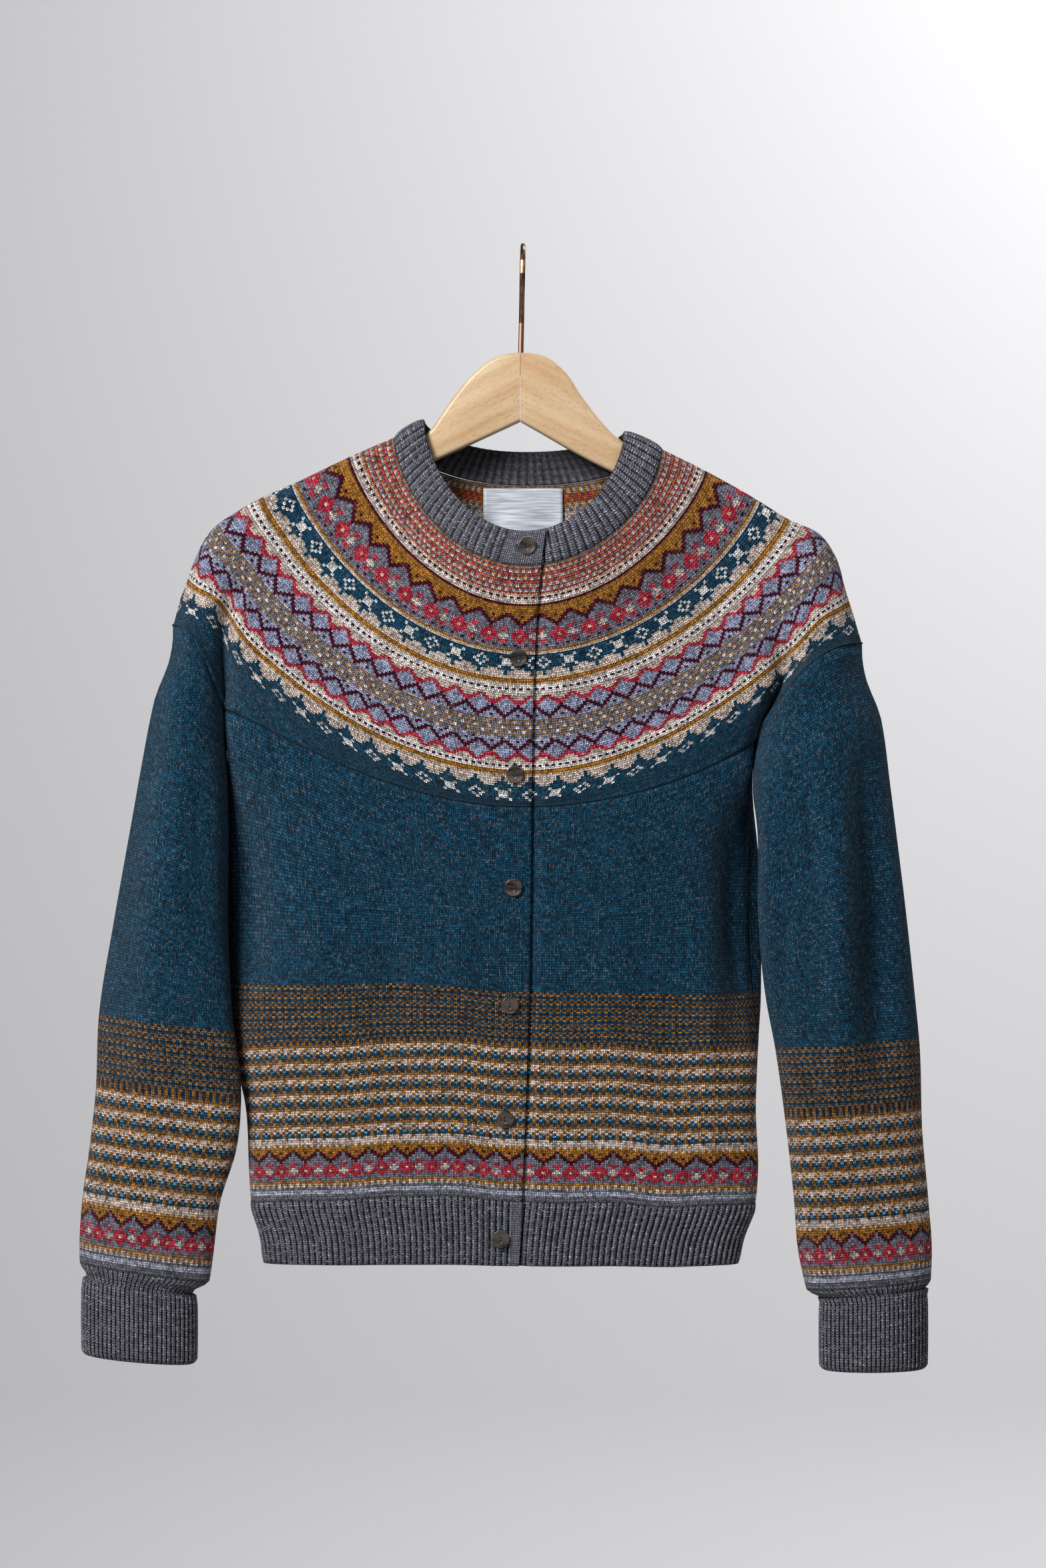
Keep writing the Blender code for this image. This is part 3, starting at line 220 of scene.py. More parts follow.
def whole_row(quarter, counts):
    """A row all round, from the right front edge by the back to the left front edge."""
    row = []
    for side, face in QUARTERS:
        points = quarter(side, face, *counts[(side, face)])
        if (side, face) in (("right", "back"), ("left", "front")):
            points = points[::-1]
        row.append(points if not row else points[1:])
    return np.concatenate(row)


def yoke_row(f, counts):
    def quarter(side, face, before, after):
        line = yoke_line(side, face, f)
        split = 1.0 - PIT_SHARE[side]
        first = along(line, np.linspace(0.0, split, before + 1))
        return np.concatenate([first, along(line, np.linspace(split, 1.0, after + 1))[1:]])
    return whole_row(quarter, counts)


def seam_row(counts):
    def quarter(side, face, before, after):
        body, sleeve = seam_lines(side, face)
        body = along(body, np.linspace(0.0, 1.0, before + 1))
        return np.concatenate([body, along(sleeve, np.linspace(0.0, 1.0, after + 1))[1:]])
    return whole_row(quarter, counts)


# ---- yoke: its knitting
# Every stitch of the colourwork is one face of the cloth with the colour of its yarn. Charts
# are read from the top down, a letter for each stitch of a repeat. The cloth is a thin closed
# shell: the right side with all its stitches, and a plainer wrong side with its floats.
YARN = {
    "t": "16425A",    # teal
    "T": "6F93A4",    # pale teal
    "o": "A06C2A",    # ochre
    "n": "86592F",    # brown
    "k": "173040",    # dark teal
    "c": "CDBBAF",    # oatmeal cream
    "w": "E6E1DD",    # white
    "b": "470A22",    # burgundy
    "r": "B23244",    # pinkish red
    "g": "737482",    # blue grey
    "l": "959CB8",    # lilac
    "p": "A9ADBD",    # pale grey
    "m": "6A6A75",    # marled rib grey
}


def linear(code):
    """The linear colour of an sRGB hex code."""
    srgb = [int(code[k:k + 2], 16) / 255 for k in (0, 2, 4)]
    return [c / 12.92 if c <= 0.04045 else ((c + 0.055) / 1.055) ** 2.4 for c in srgb] + [1.0]


DYE = {letter: linear(code) for letter, code in YARN.items()}


def zigzag(period, height, above, line, below, dot=""):
    """Points that hang down from `above` into `below`, edged with `line`."""
    rows = []
    for r in range(height):
        row = ""
        for c in range(period):
            reach = (1.0 - abs(c - period // 2) / (period / 2)) * (height - 1)
            row += above if r < reach - 1.0 else line if r < reach + 0.9 else below
        rows.append(row)
    if dot:
        middle = period // 2
        rows[1] = rows[1][:middle] + dot + rows[1][middle + 1:]
    return rows


def scallop(period, height, above, below):
    """Round humps of `below` that stand up into `above`."""
    rows = []
    for r in range(height):
        row = ""
        for c in range(period):
            across = abs(c - period // 2) / (period / 2)
            hump = math.sqrt(1.0 - across * across) * (height + 0.4)
            row += below if height - r <= hump else above
        rows.append(row)
    return rows


def diamonds(period, ground, petal, heart):
    """A solid diamond with a pale heart, and two small dots with a pale one between, by turns."""
    rows = []
    for r in range(7):
        row = ""
        for c in range(period):
            off, beside, up = abs(c - period // 2), min(c, period - c), abs(r - 3)
            if (off == 0 and up == 0) or (beside == 0 and up < 2) or (beside == 1 and up == 0):
                row += heart
            elif (off + up <= 3 and off <= 2) or (up >= 2 and beside <= (1 if r in (0, 5) else 0)):
                row += petal
            else:
                row += ground
        rows.append(row)
    return rows


def stars(period, ground, ray):
    """A cross and a ring of dots by turns."""
    rows = []
    for r in range(5):
        row = ""
        for c in range(period):
            beside, up = abs(c - period // 2), abs(r - 2)
            far = min(c, period - c)
            cross = beside + up <= 1 or beside == up == 2 or (beside, up) == (1, 1)
            ring = (far, up) in ((0, 2), (2, 0), (1, 1))
            row += ray if cross or ring else ground
        rows.append(row)
    return rows


def linked_points(ground, line):
    """A zigzag two stitches thick with a dot under each of its points, six rows high."""
    rows = []
    for r in range(6):
        row = ""
        for c in range(8):
            beside = abs(c - 4)
            dot = (beside == 0 and r == 4) or (beside == 4 and r > 3)
            row += line if dot or beside in (r, r - 1) else ground
        rows.append(row)
    return rows


YOKE_CHART = (
    ["go", "rg", "oc", "gr", "or", "cg", "ro", "gr", "co", "rg", "gc", "or"]
    + ["c", "cb", "wc", "c", "b"]
    + ["o"] * 3 + zigzag(9, 6, "o", "b", "g", "b")
    + diamonds(9, "g", "r", "c") + ["ggb", "g", "o", "c"]
    + ["t"] + stars(16, "t", "w") + scallop(8, 3, "t", "c")
    + ["c", "o", "o", "c", "w", "wb", "w", "c"]
    + zigzag(8, 4, "c", "r", "l") + linked_points("l", "b")
    + ["go", "gcgg", "og", "wggg", "go", "ggwg", "go", "gggc"]
    + linked_points("l", "b")[::-1] + zigzag(8, 4, "c", "r", "l")[::-1]
    + ["w", "wb", "w", "o", "o", "c"] + scallop(8, 4, "t", "c")[::-1]
)
YOKE_LEVELS = [0, 16, 36, 54, 73]      # a plain round at each, where stitches are drawn together
BELOW_YOKE_CHART = stars(16, "t", "w")
COURSE = YOKE_DEPTH / len(YOKE_CHART)
CLOTH = 0.002
FREE_COURSES = 6                       # below these the teal fans out to meet the seam
FAN_ROWS = 9


def frames_of(rows):
    """Unit normals at every point of rows that may have different counts."""
    normals = []
    for i, row in enumerate(rows):
        count = len(row)

        def fitted(other):
            at = np.linspace(0.0, len(other) - 1.0, count)
            return np.stack([np.interp(at, np.arange(len(other)), other[:, k]) for k in range(3)], axis=1)
        above = row if i == 0 else fitted(rows[i - 1])
        below = row if i == len(rows) - 1 else fitted(rows[i + 1])
        normal = np.cross(np.gradient(row, axis=0), below - above)
        normals.append(normal / np.linalg.norm(normal, axis=1, keepdims=True).clip(1e-9))
    return normals


def zip_lines(upper, lower):
    """Faces between two lines of vertex numbers, square where the counts agree."""
    if len(upper) == len(lower):
        return [(upper[j], lower[j], lower[j + 1], upper[j + 1]) for j in range(len(upper) - 1)]
    faces = []
    a = b = 0
    last_a, last_b = len(upper) - 1, len(lower) - 1
    while a < last_a or b < last_b:
        if b == last_b or (a < last_a and (a + 1) * last_b <= (b + 1) * last_a):
            faces.append((upper[a], lower[b], upper[a + 1]))
            a += 1
        else:
            faces.append((upper[a], lower[b], lower[b + 1]))
            b += 1
    return faces


def cloth_shell(name, rows, colour, across, down, normals, thickness=CLOTH, coarse=4, closed=False):
    """A closed knitted shell. `colour(i, j)` is the yarn of the stitch in course i, wale j.

    `across` and `down` give each row's wales and courses, which the stitches are drawn from.
    """
    if closed:
        for normal in normals:
            ends = normal[0] + normal[-1]
            normal[0] = normal[-1] = ends / np.linalg.norm(ends)
    vertices, starts = [], []
    for row in rows:
        starts.append(sum(len(v) for v in vertices))
        vertices.append(row[:-1] if closed else row)
    picked = list(range(0, len(rows) - 1, coarse)) + [len(rows) - 1]
    inner_count = max(len(rows[-1]), len(rows[0])) // coarse + 1
    inner_starts = []
    for i in picked:
        at = np.linspace(0.0, len(rows[i]) - 1.0, inner_count)
        place = rows[i] - normals[i] * thickness
        inner = np.stack([np.interp(at, np.arange(len(place)), place[:, k]) for k in range(3)], axis=1)
        inner_starts.append(sum(len(v) for v in vertices))
        vertices.append(inner[:-1] if closed else inner)
    vertices = np.concatenate(vertices)

    def numbers(start, count):
        line = list(range(start, start + count - (1 if closed else 0)))
        return line + [start] if closed else line

    outer = [numbers(starts[i], len(rows[i])) for i in range(len(rows))]
    inner = [numbers(inner_starts[k], inner_count) for k in range(len(picked))]
    faces, dyes, uvs = [], [], []

    def put(face, dye, places):
        faces.append(face)
        dyes.append(dye)
        uvs.extend(places)

    for i in range(len(rows) - 1):
        upper, lower = outer[i], outer[i + 1]
        us, ls = across[i], across[i + 1]
        ratio = (len(upper) - 1) / (len(lower) - 1)
        if len(upper) == len(lower):
            for j in range(len(upper) - 1):
                put((upper[j], lower[j], lower[j + 1], upper[j + 1]), colour(i, j),
                    [(us[j], down[i]), (ls[j], down[i + 1]), (ls[j + 1], down[i + 1]), (us[j + 1], down[i])])
            continue
        for face in zip_lines([(0, j) for j in range(len(upper))], [(1, j) for j in range(len(lower))]):
            spot = [(us[j] if line == 0 else ls[j] * ratio, down[i + line]) for line, j in face]
            wale = min(j if line == 0 else j * ratio for line, j in face)
            put(tuple((upper if line == 0 else lower)[j] for line, j in face), colour(i, int(wale)), spot)
    for k in range(len(picked) - 1):
        for j, face in enumerate(zip_lines(inner[k], inner[k + 1])):
            u, v = j * coarse, down[picked[k]]
            places = [(u, v), (u, v + coarse), (u + coarse, v + coarse), (u + coarse, v)][:len(face)]
            put(face[::-1], colour(min(picked[k], len(rows) - 2), j), places[::-1])
    for upper, lower, i in ((inner[0], outer[0], 0), (outer[-1], inner[-1], len(rows) - 2)):
        for face in zip_lines(upper, lower):
            put(face, colour(i, 0), [(0.5, down[i])] * len(face))
    if not closed:
        for line_out, line_in, last in (
            ([row[0] for row in outer], [row[0] for row in inner], False),
            ([row[-1] for row in outer], [row[-1] for row in inner], True),
        ):
            for n, face in enumerate(zip_lines(line_out, line_in)):
                dye = colour(min(n * (len(rows) - 1) // (len(rows) + len(picked)), len(rows) - 2), 0)
                face = face if last else face[::-1]
                put(face[::-1], dye, [(0.5, 0.5)] * len(face))
    mesh = bpy.data.meshes.new(name)
    mesh.from_pydata(vertices.tolist(), [], faces)
    sizes = np.array([len(f) for f in faces])
    yarn = mesh.color_attributes.new("yarn", "FLOAT_COLOR", "CORNER")
    yarn.data.foreach_set("color", np.repeat(np.array(dyes, np.float32), sizes, axis=0).ravel())
    stitches = mesh.uv_layers.new(name="stitches")
    stitches.data.foreach_set("uv", np.array(uvs, np.float32).ravel())
    mesh.shade_smooth()
    piece = bpy.data.objects.new(name, mesh)
    bpy.context.scene.collection.objects.link(piece)
    return piece


def node(tree, kind, inputs=(), output=0, **settings):
    """Adds a node and returns one of its outputs.

    Its inputs are values or other nodes' outputs, in order or by name.
    """
    made = tree.nodes.new("ShaderNode" + kind)
    for key, value in settings.items():
        setattr(made, key, value)
    for key, value in inputs.items() if isinstance(inputs, dict) else enumerate(inputs):
        if isinstance(value, bpy.types.NodeSocket):
            tree.links.new(value, made.inputs[key])
        else:
            made.inputs[key].default_value = value
    return made.outputs[output]


def new_material(name):
    material = bpy.data.materials.new(name)
    material.use_nodes = True
    return material, material.node_tree, material.node_tree.nodes["Principled BSDF"]


# Knitted lambswool: matt, with a soft nap. Each stitch is two slanting strands that meet low
# in the middle, 2.5 mm wide and about 1.7 mm high. The yarn is heathered: single fibres are
# darker or paler than their neighbours, and a few are of another colour.
def knitted_wool(name, heather, unevenness, across, down, fleck, fleck_share, fleck_strength):
    material, tree, shader = new_material(name)
    yarn = node(tree, "Attribute", output="Color", attribute_name="yarn")
    place = node(tree, "UVMap", uv_map="stitches")

    # the two slanting strands of a stitch, in units of one wale and one course
    u = node(tree, "SeparateXYZ", [place])
    v = u.node.outputs[1]
    part = node(tree, "Math", [u], operation="FRACT")
    sided = node(tree, "Math", [part, 2.0, -1.0], operation="MULTIPLY_ADD")
    off = node(tree, "Math", [sided], operation="ABSOLUTE")
    slant = node(tree, "Math", [off, 0.6, -0.6], operation="MULTIPLY_ADD")
    height_in_stitch = node(tree, "Math", [v, slant], operation="ADD")
    turn = node(tree, "Math", [height_in_stitch, math.pi], operation="MULTIPLY")
    wave = node(tree, "Math", [node(tree, "Math", [turn], operation="SINE")], operation="ABSOLUTE")
    strand = node(tree, "Math", [wave, 0.8], operation="POWER")
    arch = node(tree, "Math", [off, math.pi], operation="MULTIPLY")
    legs = node(tree, "Math", [node(tree, "Math", [arch], operation="SINE"), 0.0], operation="MAXIMUM")
    rounded = node(tree, "Math", [legs, 0.6], operation="POWER")
    relief = node(tree, "Math", [strand, rounded], operation="MULTIPLY")

    # chance for each half stitch, fibres along the yarn, and slow changes over the cloth
    column = node(tree, "Math", [u, 2.0 * across], operation="MULTIPLY")
    line = node(tree, "Math", [height_in_stitch, down], operation="MULTIPLY")
    cell = node(tree, "CombineXYZ", [
        node(tree, "Math", [column], operation="FLOOR"), node(tree, "Math", [line], operation="FLOOR")
    ])
    chance = node(tree, "TexWhiteNoise", {"Vector": cell}, "Value", noise_dimensions="2D")
    drawn = node(tree, "Mapping", {"Vector": place, "Scale": (across, down, 1.0)})
    fibres = node(tree, "TexNoise", {"Vector": drawn, "Scale": 3.4, "Detail": 3.0, "Roughness": 0.7}, "Fac")
    blotch = node(tree, "TexNoise", {"Vector": place, "Scale": 0.1, "Detail": 3.0}, "Fac")
    drawn_out = node(tree, "Mapping", {"Vector": place, "Scale": (0.3, 0.85, 1.0)})
    streak = node(tree, "TexNoise", {"Vector": drawn_out, "Scale": 1.0, "Detail": 2.0}, "Fac")

    # darker and paler fibres, then a few of another colour
    dark = node(tree, "MapRange", [fibres, 0.38, 0.5, heather, 0.0])
    pale = node(tree, "MapRange", [fibres, 0.52, 0.66, 0.0, heather])
    rare = node(tree, "MapRange", [chance, 1.0 - fleck_share, 1.02 - fleck_share, 0.0, fleck_strength])
    tone = yarn
    for share, colour, blend in (
        (dark, linear("3C4048"), "MULTIPLY"), (pale, yarn, "ADD"), (rare, linear(fleck), "MIX")
    ):
        tone = node(tree, "Mix", {0: share, 6: tone, 7: colour}, 2, data_type="RGBA", blend_type=blend)

    # painted shade in the hollows of a stitch and painted light on its crowns, then tone that changes at
    # random from stitch to stitch and over the cloth
    shade = node(tree, "MapRange", [relief, 0.0, 0.9, 0.14, 1.28])
    for value, low, high, least, most in (
        (blotch, 0.3, 0.7, 0.9, 1.1),
        (chance, 0.0, 1.0, 1.0 - unevenness, 1.0 + unevenness),
        (streak, 0.3, 0.7, 0.62, 1.38),
    ):
        change = node(tree, "MapRange", [value, low, high, least, most])
        shade = node(tree, "Math", [shade, change], operation="MULTIPLY")
    tone = node(tree, "Mix", {0: 1.0, 6: tone, 7: shade}, 2, data_type="RGBA", blend_type="MULTIPLY")
    tree.links.new(tone, shader.inputs["Base Color"])
    height = node(tree, "Math", [fibres, 0.4, relief], operation="MULTIPLY_ADD")
    bump = node(tree, "Bump", {"Height": height, "Distance": 0.0009, "Strength": 0.9})
    tree.links.new(bump, shader.inputs["Normal"])
    shader.inputs["Roughness"].default_value = 0.95
    shader.inputs["Specular IOR Level"].default_value = 0.04
    shader.inputs["Sheen Weight"].default_value = 0.05
    shader.inputs["Sheen Roughness"].default_value = 0.5
    return material


lambswool = knitted_wool("two-ply lambswool", 0.95, 0.6, 1.0, 1.0, "6E5230", 0.1, 0.22)


def chart_colour(chart, row, wale):
    line = chart[min(row, len(chart) - 1)]
    return DYE[line[wale % len(line)]]


def finish_cloth(piece, material, node_names):
    piece.data.materials.append(material)
    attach(piece, "root")
    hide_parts(*node_names.split())


def fold(points, normals, creases):
    """Lifts a surface along its normals into soft ridges and troughs.

    Each crease runs from one (x, z) to another, with its half width and its height.
    """
    moved = points.copy()
    for face, x0, z0, x1, z1, width, height in creases:
        a, b = np.array([x0, z0]), np.array([x1, z1])
        flat = points[:, [0, 2]]
        t = np.clip((flat - a) @ (b - a) / ((b - a) @ (b - a)), 0.0, 1.0)
        gap = np.linalg.norm(flat - (a + t[:, None] * (b - a)), axis=1)
        taper = np.sin(math.pi * (0.12 + 0.76 * t))
        facing = ease(FACE[face] * normals[:, 1] / 0.35)
        moved += normals * (height * np.exp(-(gap / width) ** 2) * taper * facing)[:, None]
    return moved


yoke_rows, yoke_across, yoke_down = [], [], []
level_at = YOKE_LEVELS + [len(YOKE_CHART) + 1]
for level, first_row in enumerate(YOKE_LEVELS):
    until = level_at[level + 1]
    counts = ring_counts(0.5 * (first_row + min(until, len(YOKE_CHART))) / len(YOKE_CHART))
    for number in range(first_row, until):
        row = yoke_row(number / len(YOKE_CHART), counts)
        yoke_rows.append(row)
        yoke_across.append(np.arange(len(row)) - len(row) // 2)
        yoke_down.append(float(number))
edge, seam = yoke_rows[-1], seam_row(counts)
gap = np.linalg.norm(seam - edge, axis=1, keepdims=True)
heading = (seam - edge) / gap
for number in range(1, FREE_COURSES + 1):
    yoke_rows.append(edge + heading * np.minimum(number * COURSE, gap * number / (FREE_COURSES + 2)))
    yoke_across.append(yoke_across[-1])
    yoke_down.append(yoke_down[-1] + 1.0)
free = yoke_rows[-1]
for number in range(1, FAN_ROWS + 1):
    yoke_rows.append(free + (seam - free) * number / FAN_ROWS)
    yoke_across.append(yoke_across[-1])
    yoke_down.append(yoke_down[-1] + 2.0)


def yoke_colour(i, j):
    if i >= len(YOKE_CHART):
        row = i - len(YOKE_CHART) - 1
        return chart_colour(BELOW_YOKE_CHART, row, j) if 0 <= row < len(BELOW_YOKE_CHART) else DYE["t"]
    return chart_colour(YOKE_CHART, i, j)


yoke_normals = frames_of(yoke_rows)
FACING_WALE = 10       # the facing is stitched down this many wales in from the upper front's edge
FACING_DIP = 0.0009
SEAM_RIDGE = 0.0012
for number, (row, normal) in enumerate(zip(yoke_rows, yoke_normals)):
    row[FACING_WALE] -= normal[FACING_WALE] * FACING_DIP
    if number == len(yoke_rows) - 2:
        row += normal * SEAM_RIDGE
yoke = cloth_shell("knitted_yoke", yoke_rows, yoke_colour, yoke_across, yoke_down, yoke_normals, coarse=2)
finish_cloth(
    yoke, lambswool, "yoke_front_right yoke_back yoke_front_left",
)

# ---- body: two fronts and a back
# Two fronts and a back hang from the yoke seam. They are plain teal down to a seeded tweed,
# then rows of small checks and a border. The wearer's right front lies on top.
SEAM = 0.0003          # sewn pieces lie this far apart
RIB_TOP_Z = -0.711
PIT_DROP = 0.0011
BLEND_BODY = 0.09
PLAIN_END_Z = -0.52
BODY_COURSE = 0.00168
# how far the rows wander up or down across the front: x, at the top of the tweed, below it
SWAY = [
    (-0.215, 0.001, -0.0035), (-0.167, 0.001, 0.0), (-0.132, 0.0015, 0.001), (-0.102, 0.003, 0.0035),
    (-0.082, 0.002, 0.004), (-0.047, 0.0, 0.004), (-0.02, -0.003, 0.001), (0.003, -0.0035, 0.0),
    (0.03, -0.004, -0.001), (0.068, -0.004, -0.0005), (0.108, -0.0055, -0.0045),
    (0.138, -0.0065, -0.0035), (0.18, -0.006, -0.0045),
]
TWEED_TOP_Z = -0.5514
CHECKS_TOP_Z = -0.5934
BODY = [
    (-0.77, -0.193, 0.159, 0.033, 0.0, 0.0),
    (-0.74, -0.1955, 0.164, 0.034, 0.0, 0.0),
    (-0.711, -0.2035, 0.173, 0.037, 0.0, 0.002),
    (-0.69, -0.205, 0.1755, 0.0385, 0.0, 0.001),
    (-0.64, -0.205, 0.1735, 0.039, 0.006, 0.002),
    (-0.6, -0.2075, 0.1725, 0.04, 0.018, 0.007),
    (-0.56, -0.2085, 0.169, 0.04, 0.024, 0.017),
    (-0.5, -0.2095, 0.163, 0.041, 0.026, 0.028),
    (-0.44, -0.211, 0.16, 0.042, 0.025, 0.028),
    (-0.4, -0.215, 0.164, 0.042, 0.013, 0.016),
    (-0.37, -0.218, 0.17, 0.041, 0.003, 0.003),
    (-0.34, -0.22, 0.173, 0.041, 0.0, 0.0),
]


CHECKS = ["ntot", "noon", "cocc", "ccnc", "ctcn", "tTto", "tttn"]


def border_chart(tweed_rows):
    """Tweed, six rows of checks, cream to ochre points, diamonds and pale stripes."""
    return (
        ["nk", "to", "kt", "tn"] * (tweed_rows // 4) + ["nk"] * (tweed_rows % 4) + CHECKS * 6
        + ["ccnc", "c", "cccc", "coco", "o"] + zigzag(8, 6, "o", "b", "g", "b") + diamonds(8, "g", "r", "c")
        + ["gg", "o", "oc", "gc", "m", "p", "p", "m", "m", "m"]
    )


def sway(x, z):
    started = ease((PLAIN_END_Z - z) / (PLAIN_END_Z - TWEED_TOP_Z))
    lower = ease((TWEED_TOP_Z - z) / (TWEED_TOP_Z - CHECKS_TOP_Z))
    return started * (through(SWAY, x, 1) * (1.0 - lower) + through(SWAY, x, 2) * lower)


def body_section(side, face, z, shares):
    right_x, left_x, depth = [through(BODY, z, k) for k in (1, 2, 3)]
    middle = 0.5 * (right_x + left_x)
    side_x = right_x if side == "right" else left_x
    lean = through(BODY, z, 4 if side == "right" else 5)
    first = (start_x(side, face, z) - middle) / (side_x - middle)
    u = first + (1.0 - first) * np.sin(np.linspace(0.0, math.pi / 2, 300))
    x = middle + u * (side_x - middle)
    out = depth * (1.0 - np.abs(u) ** BODY_CORNER).clip(0.0) ** (1 / BODY_CORNER)
    out = out - layer_step(side, face, x, z) * (out > SEAM)
    y = FACE[face] * out
    x = x + SIDE[side] * lean * (0.5 + 0.5 * y / depth) * np.abs(u) ** 4
    return along(np.stack([x, y], axis=1), shares)


def body_quarter(side, face, stitches, heights):
    """Rows of one quarter of the body: fanned below the seam, level from PLAIN_END_Z down."""
    line, _ = seam_lines(side, face)
    pit_x, pit_y, pit_z = PIT[side]
    strip = np.array([(pit_x, FACE[face] * pit_y * (1.0 - k / 6), pit_z - PIT_DROP) for k in range(1, 7)])
    shares = np.linspace(0.0, 1.0, stitches + 1)
    top = along(np.concatenate([line, strip]), shares)
    top[:, 2] -= SEAM
    rows = []
    for height in heights:
        t = (height - heights[0]) / (PLAIN_END_Z - heights[0])
        z = np.full(stitches + 1, height) if t >= 1.0 else top[:, 2] * (1.0 - t) + PLAIN_END_Z * t
        if t >= 1.0:
            flat = body_section(side, face, height, shares)
        else:
            flat = np.array([body_section(side, face, zj, [s])[0] for zj, s in zip(z, shares)])
        weight = ease((top[:, 2] - z) / BLEND_BODY)[:, None]
        row = top[:, :2] * (1.0 - weight) + flat * weight
        row[-1, 1] = FACE[face] * SEAM / 2
        rows.append(np.column_stack([row, z + sway(row[:, 0], height)]))
    return rows


FAN = [YOKE_SEAM_Z + (PLAIN_END_Z - YOKE_SEAM_Z) * k / 24 for k in range(25)]
LEVEL = list(np.arange(PLAIN_END_Z, RIB_TOP_Z, -BODY_COURSE))[1:]
HEIGHTS = FAN + [z for z in LEVEL if z > RIB_TOP_Z + BODY_COURSE / 2] + [RIB_TOP_Z + SEAM]
BODY_CHART = border_chart(25)
BODY_STITCHES = {("right", "front"): 94, ("left", "front"): 86, ("right", "back"): 96, ("left", "back"): 76}
BODY_CREASES = [
    ("front", 0.161, -0.43, 0.166, -0.59, 0.017, -0.016),
    ("front", -0.206, -0.43, -0.204, -0.56, 0.016, -0.008),
    ("front", -0.152, -0.46, -0.15, -0.61, 0.018, 0.003),
    ("front", -0.1, -0.48, -0.096, -0.63, 0.018, -0.0025),
    ("front", -0.048, -0.45, -0.045, -0.56, 0.011, 0.002),
    ("front", 0.062, -0.47, 0.066, -0.62, 0.02, 0.0025),
    ("front", 0.11, -0.47, 0.113, -0.66, 0.016, -0.003),
    ("front", 0.137, -0.55, 0.14, -0.66, 0.011, 0.0025),
    ("back", -0.115, -0.44, -0.125, -0.65, 0.022, -0.0045),
    ("back", -0.045, -0.42, -0.05, -0.64, 0.024, 0.003),
    ("back", 0.055, -0.43, 0.06, -0.65, 0.022, -0.0035),
    ("back", 0.12, -0.45, 0.122, -0.64, 0.018, 0.003),
]


def body_colour(i, j):
    row = i - (len(HEIGHTS) - 1 - len(BODY_CHART))
    return chart_colour(BODY_CHART, row, j) if row >= 0 else DYE["t"]


quarters = {key: body_quarter(*key, BODY_STITCHES[key], HEIGHTS) for key in QUARTERS}
halves = {
    "right_front": quarters[("right", "front")],
    "left_front": [row[::-1] for row in quarters[("left", "front")]],
    "back_panel": [
        np.concatenate([right[::-1], left[1:]])
        for right, left in zip(quarters[("right", "back")], quarters[("left", "back")])
    ],
}
for name, node_name, flat, area in (
    ("right_front", "front_right", (0.25, 0.36), 0.076),
    ("left_front", "front_left", (0.22, 0.36), 0.068),
    ("back_panel", "back", (0.45, 0.37), 0.152),
):
    rows = halves[name]
    normals = frames_of(rows)
    rows = [fold(row, normal, BODY_CREASES) for row, normal in zip(rows, normals)]
    across = [np.arange(len(row), dtype=float) for row in rows]
    down = [(YOKE_SEAM_Z - z) / BODY_COURSE for z in HEIGHTS]
    if name == "right_front":
        for row, normal in zip(rows, normals):
            row[FACING_WALE] -= normal[FACING_WALE] * FACING_DIP
    panel = cloth_shell(name, rows, body_colour, across, down, normals)
    finish_cloth(panel, lambswool, node_name)

# ---- sleeves
# Two sleeves hang from the yoke, tapered to the wrist, in plain teal with the same tweed,
# checks and border at the lower end.
BLEND_SLEEVE = 0.055
SLEEVE_CHART = border_chart(27)
SLEEVE_STITCHES = 112
SLEEVE = {
    "right": [
        (-0.79, -0.33, -0.238, 0.023, -0.004, 0.1),
        (-0.765, -0.3315, -0.233, 0.024, -0.004, 0.15),
        (-0.75, -0.332, -0.231, 0.026, -0.004, 0.2),
        (-0.714, -0.33, -0.226, 0.029, -0.004, 0.35),
        (-0.674, -0.3245, -0.2135, 0.032, -0.004, 0.5),
        (-0.634, -0.32, -0.2095, 0.035, -0.004, 0.6),
        (-0.574, -0.3175, -0.216, 0.041, -0.002, 0.55),
        (-0.504, -0.3065, -0.22, 0.049, 0.0, 0.5),
        (-0.434, -0.294, -0.22, 0.055, 0.001, 0.45),
        (-0.39, -0.286, -0.2207, 0.0535, 0.0015, 0.3),
        (-0.35, -0.2785, -0.2235, 0.052, 0.002, 0.15),
        (-0.284, -0.262, -0.223, 0.044, 0.0, 0.0),
    ],
    "left": [
        (-0.8, 0.303, 0.218, 0.023, -0.004, 0.1),
        (-0.776, 0.305, 0.211, 0.025, -0.004, 0.15),
        (-0.75, 0.306, 0.2055, 0.027, -0.004, 0.2),
        (-0.714, 0.3035, 0.2025, 0.03, -0.004, 0.25),
        (-0.664, 0.299, 0.197, 0.033, -0.004, 0.3),
        (-0.594, 0.2965, 0.187, 0.036, -0.005, 0.4),
        (-0.564, 0.2935, 0.181, 0.038, -0.006, 0.5),
        (-0.504, 0.287, 0.1745, 0.041, -0.008, 0.6),
        (-0.434, 0.2785, 0.1735, 0.043, -0.008, 0.65),
        (-0.401, 0.2745, 0.17, 0.045, -0.006, 0.55),
        (-0.36, 0.2695, 0.174, 0.045, -0.002, 0.3),
        (-0.297, 0.254, 0.179, 0.042, 0.0, 0.0),
    ],
}
SLEEVE_END = {"right": (-0.766, -0.14), "left": (-0.7755, 0.073)}
PATTERN_HEIGHT = {"right": 0.1865, "left": 0.181}
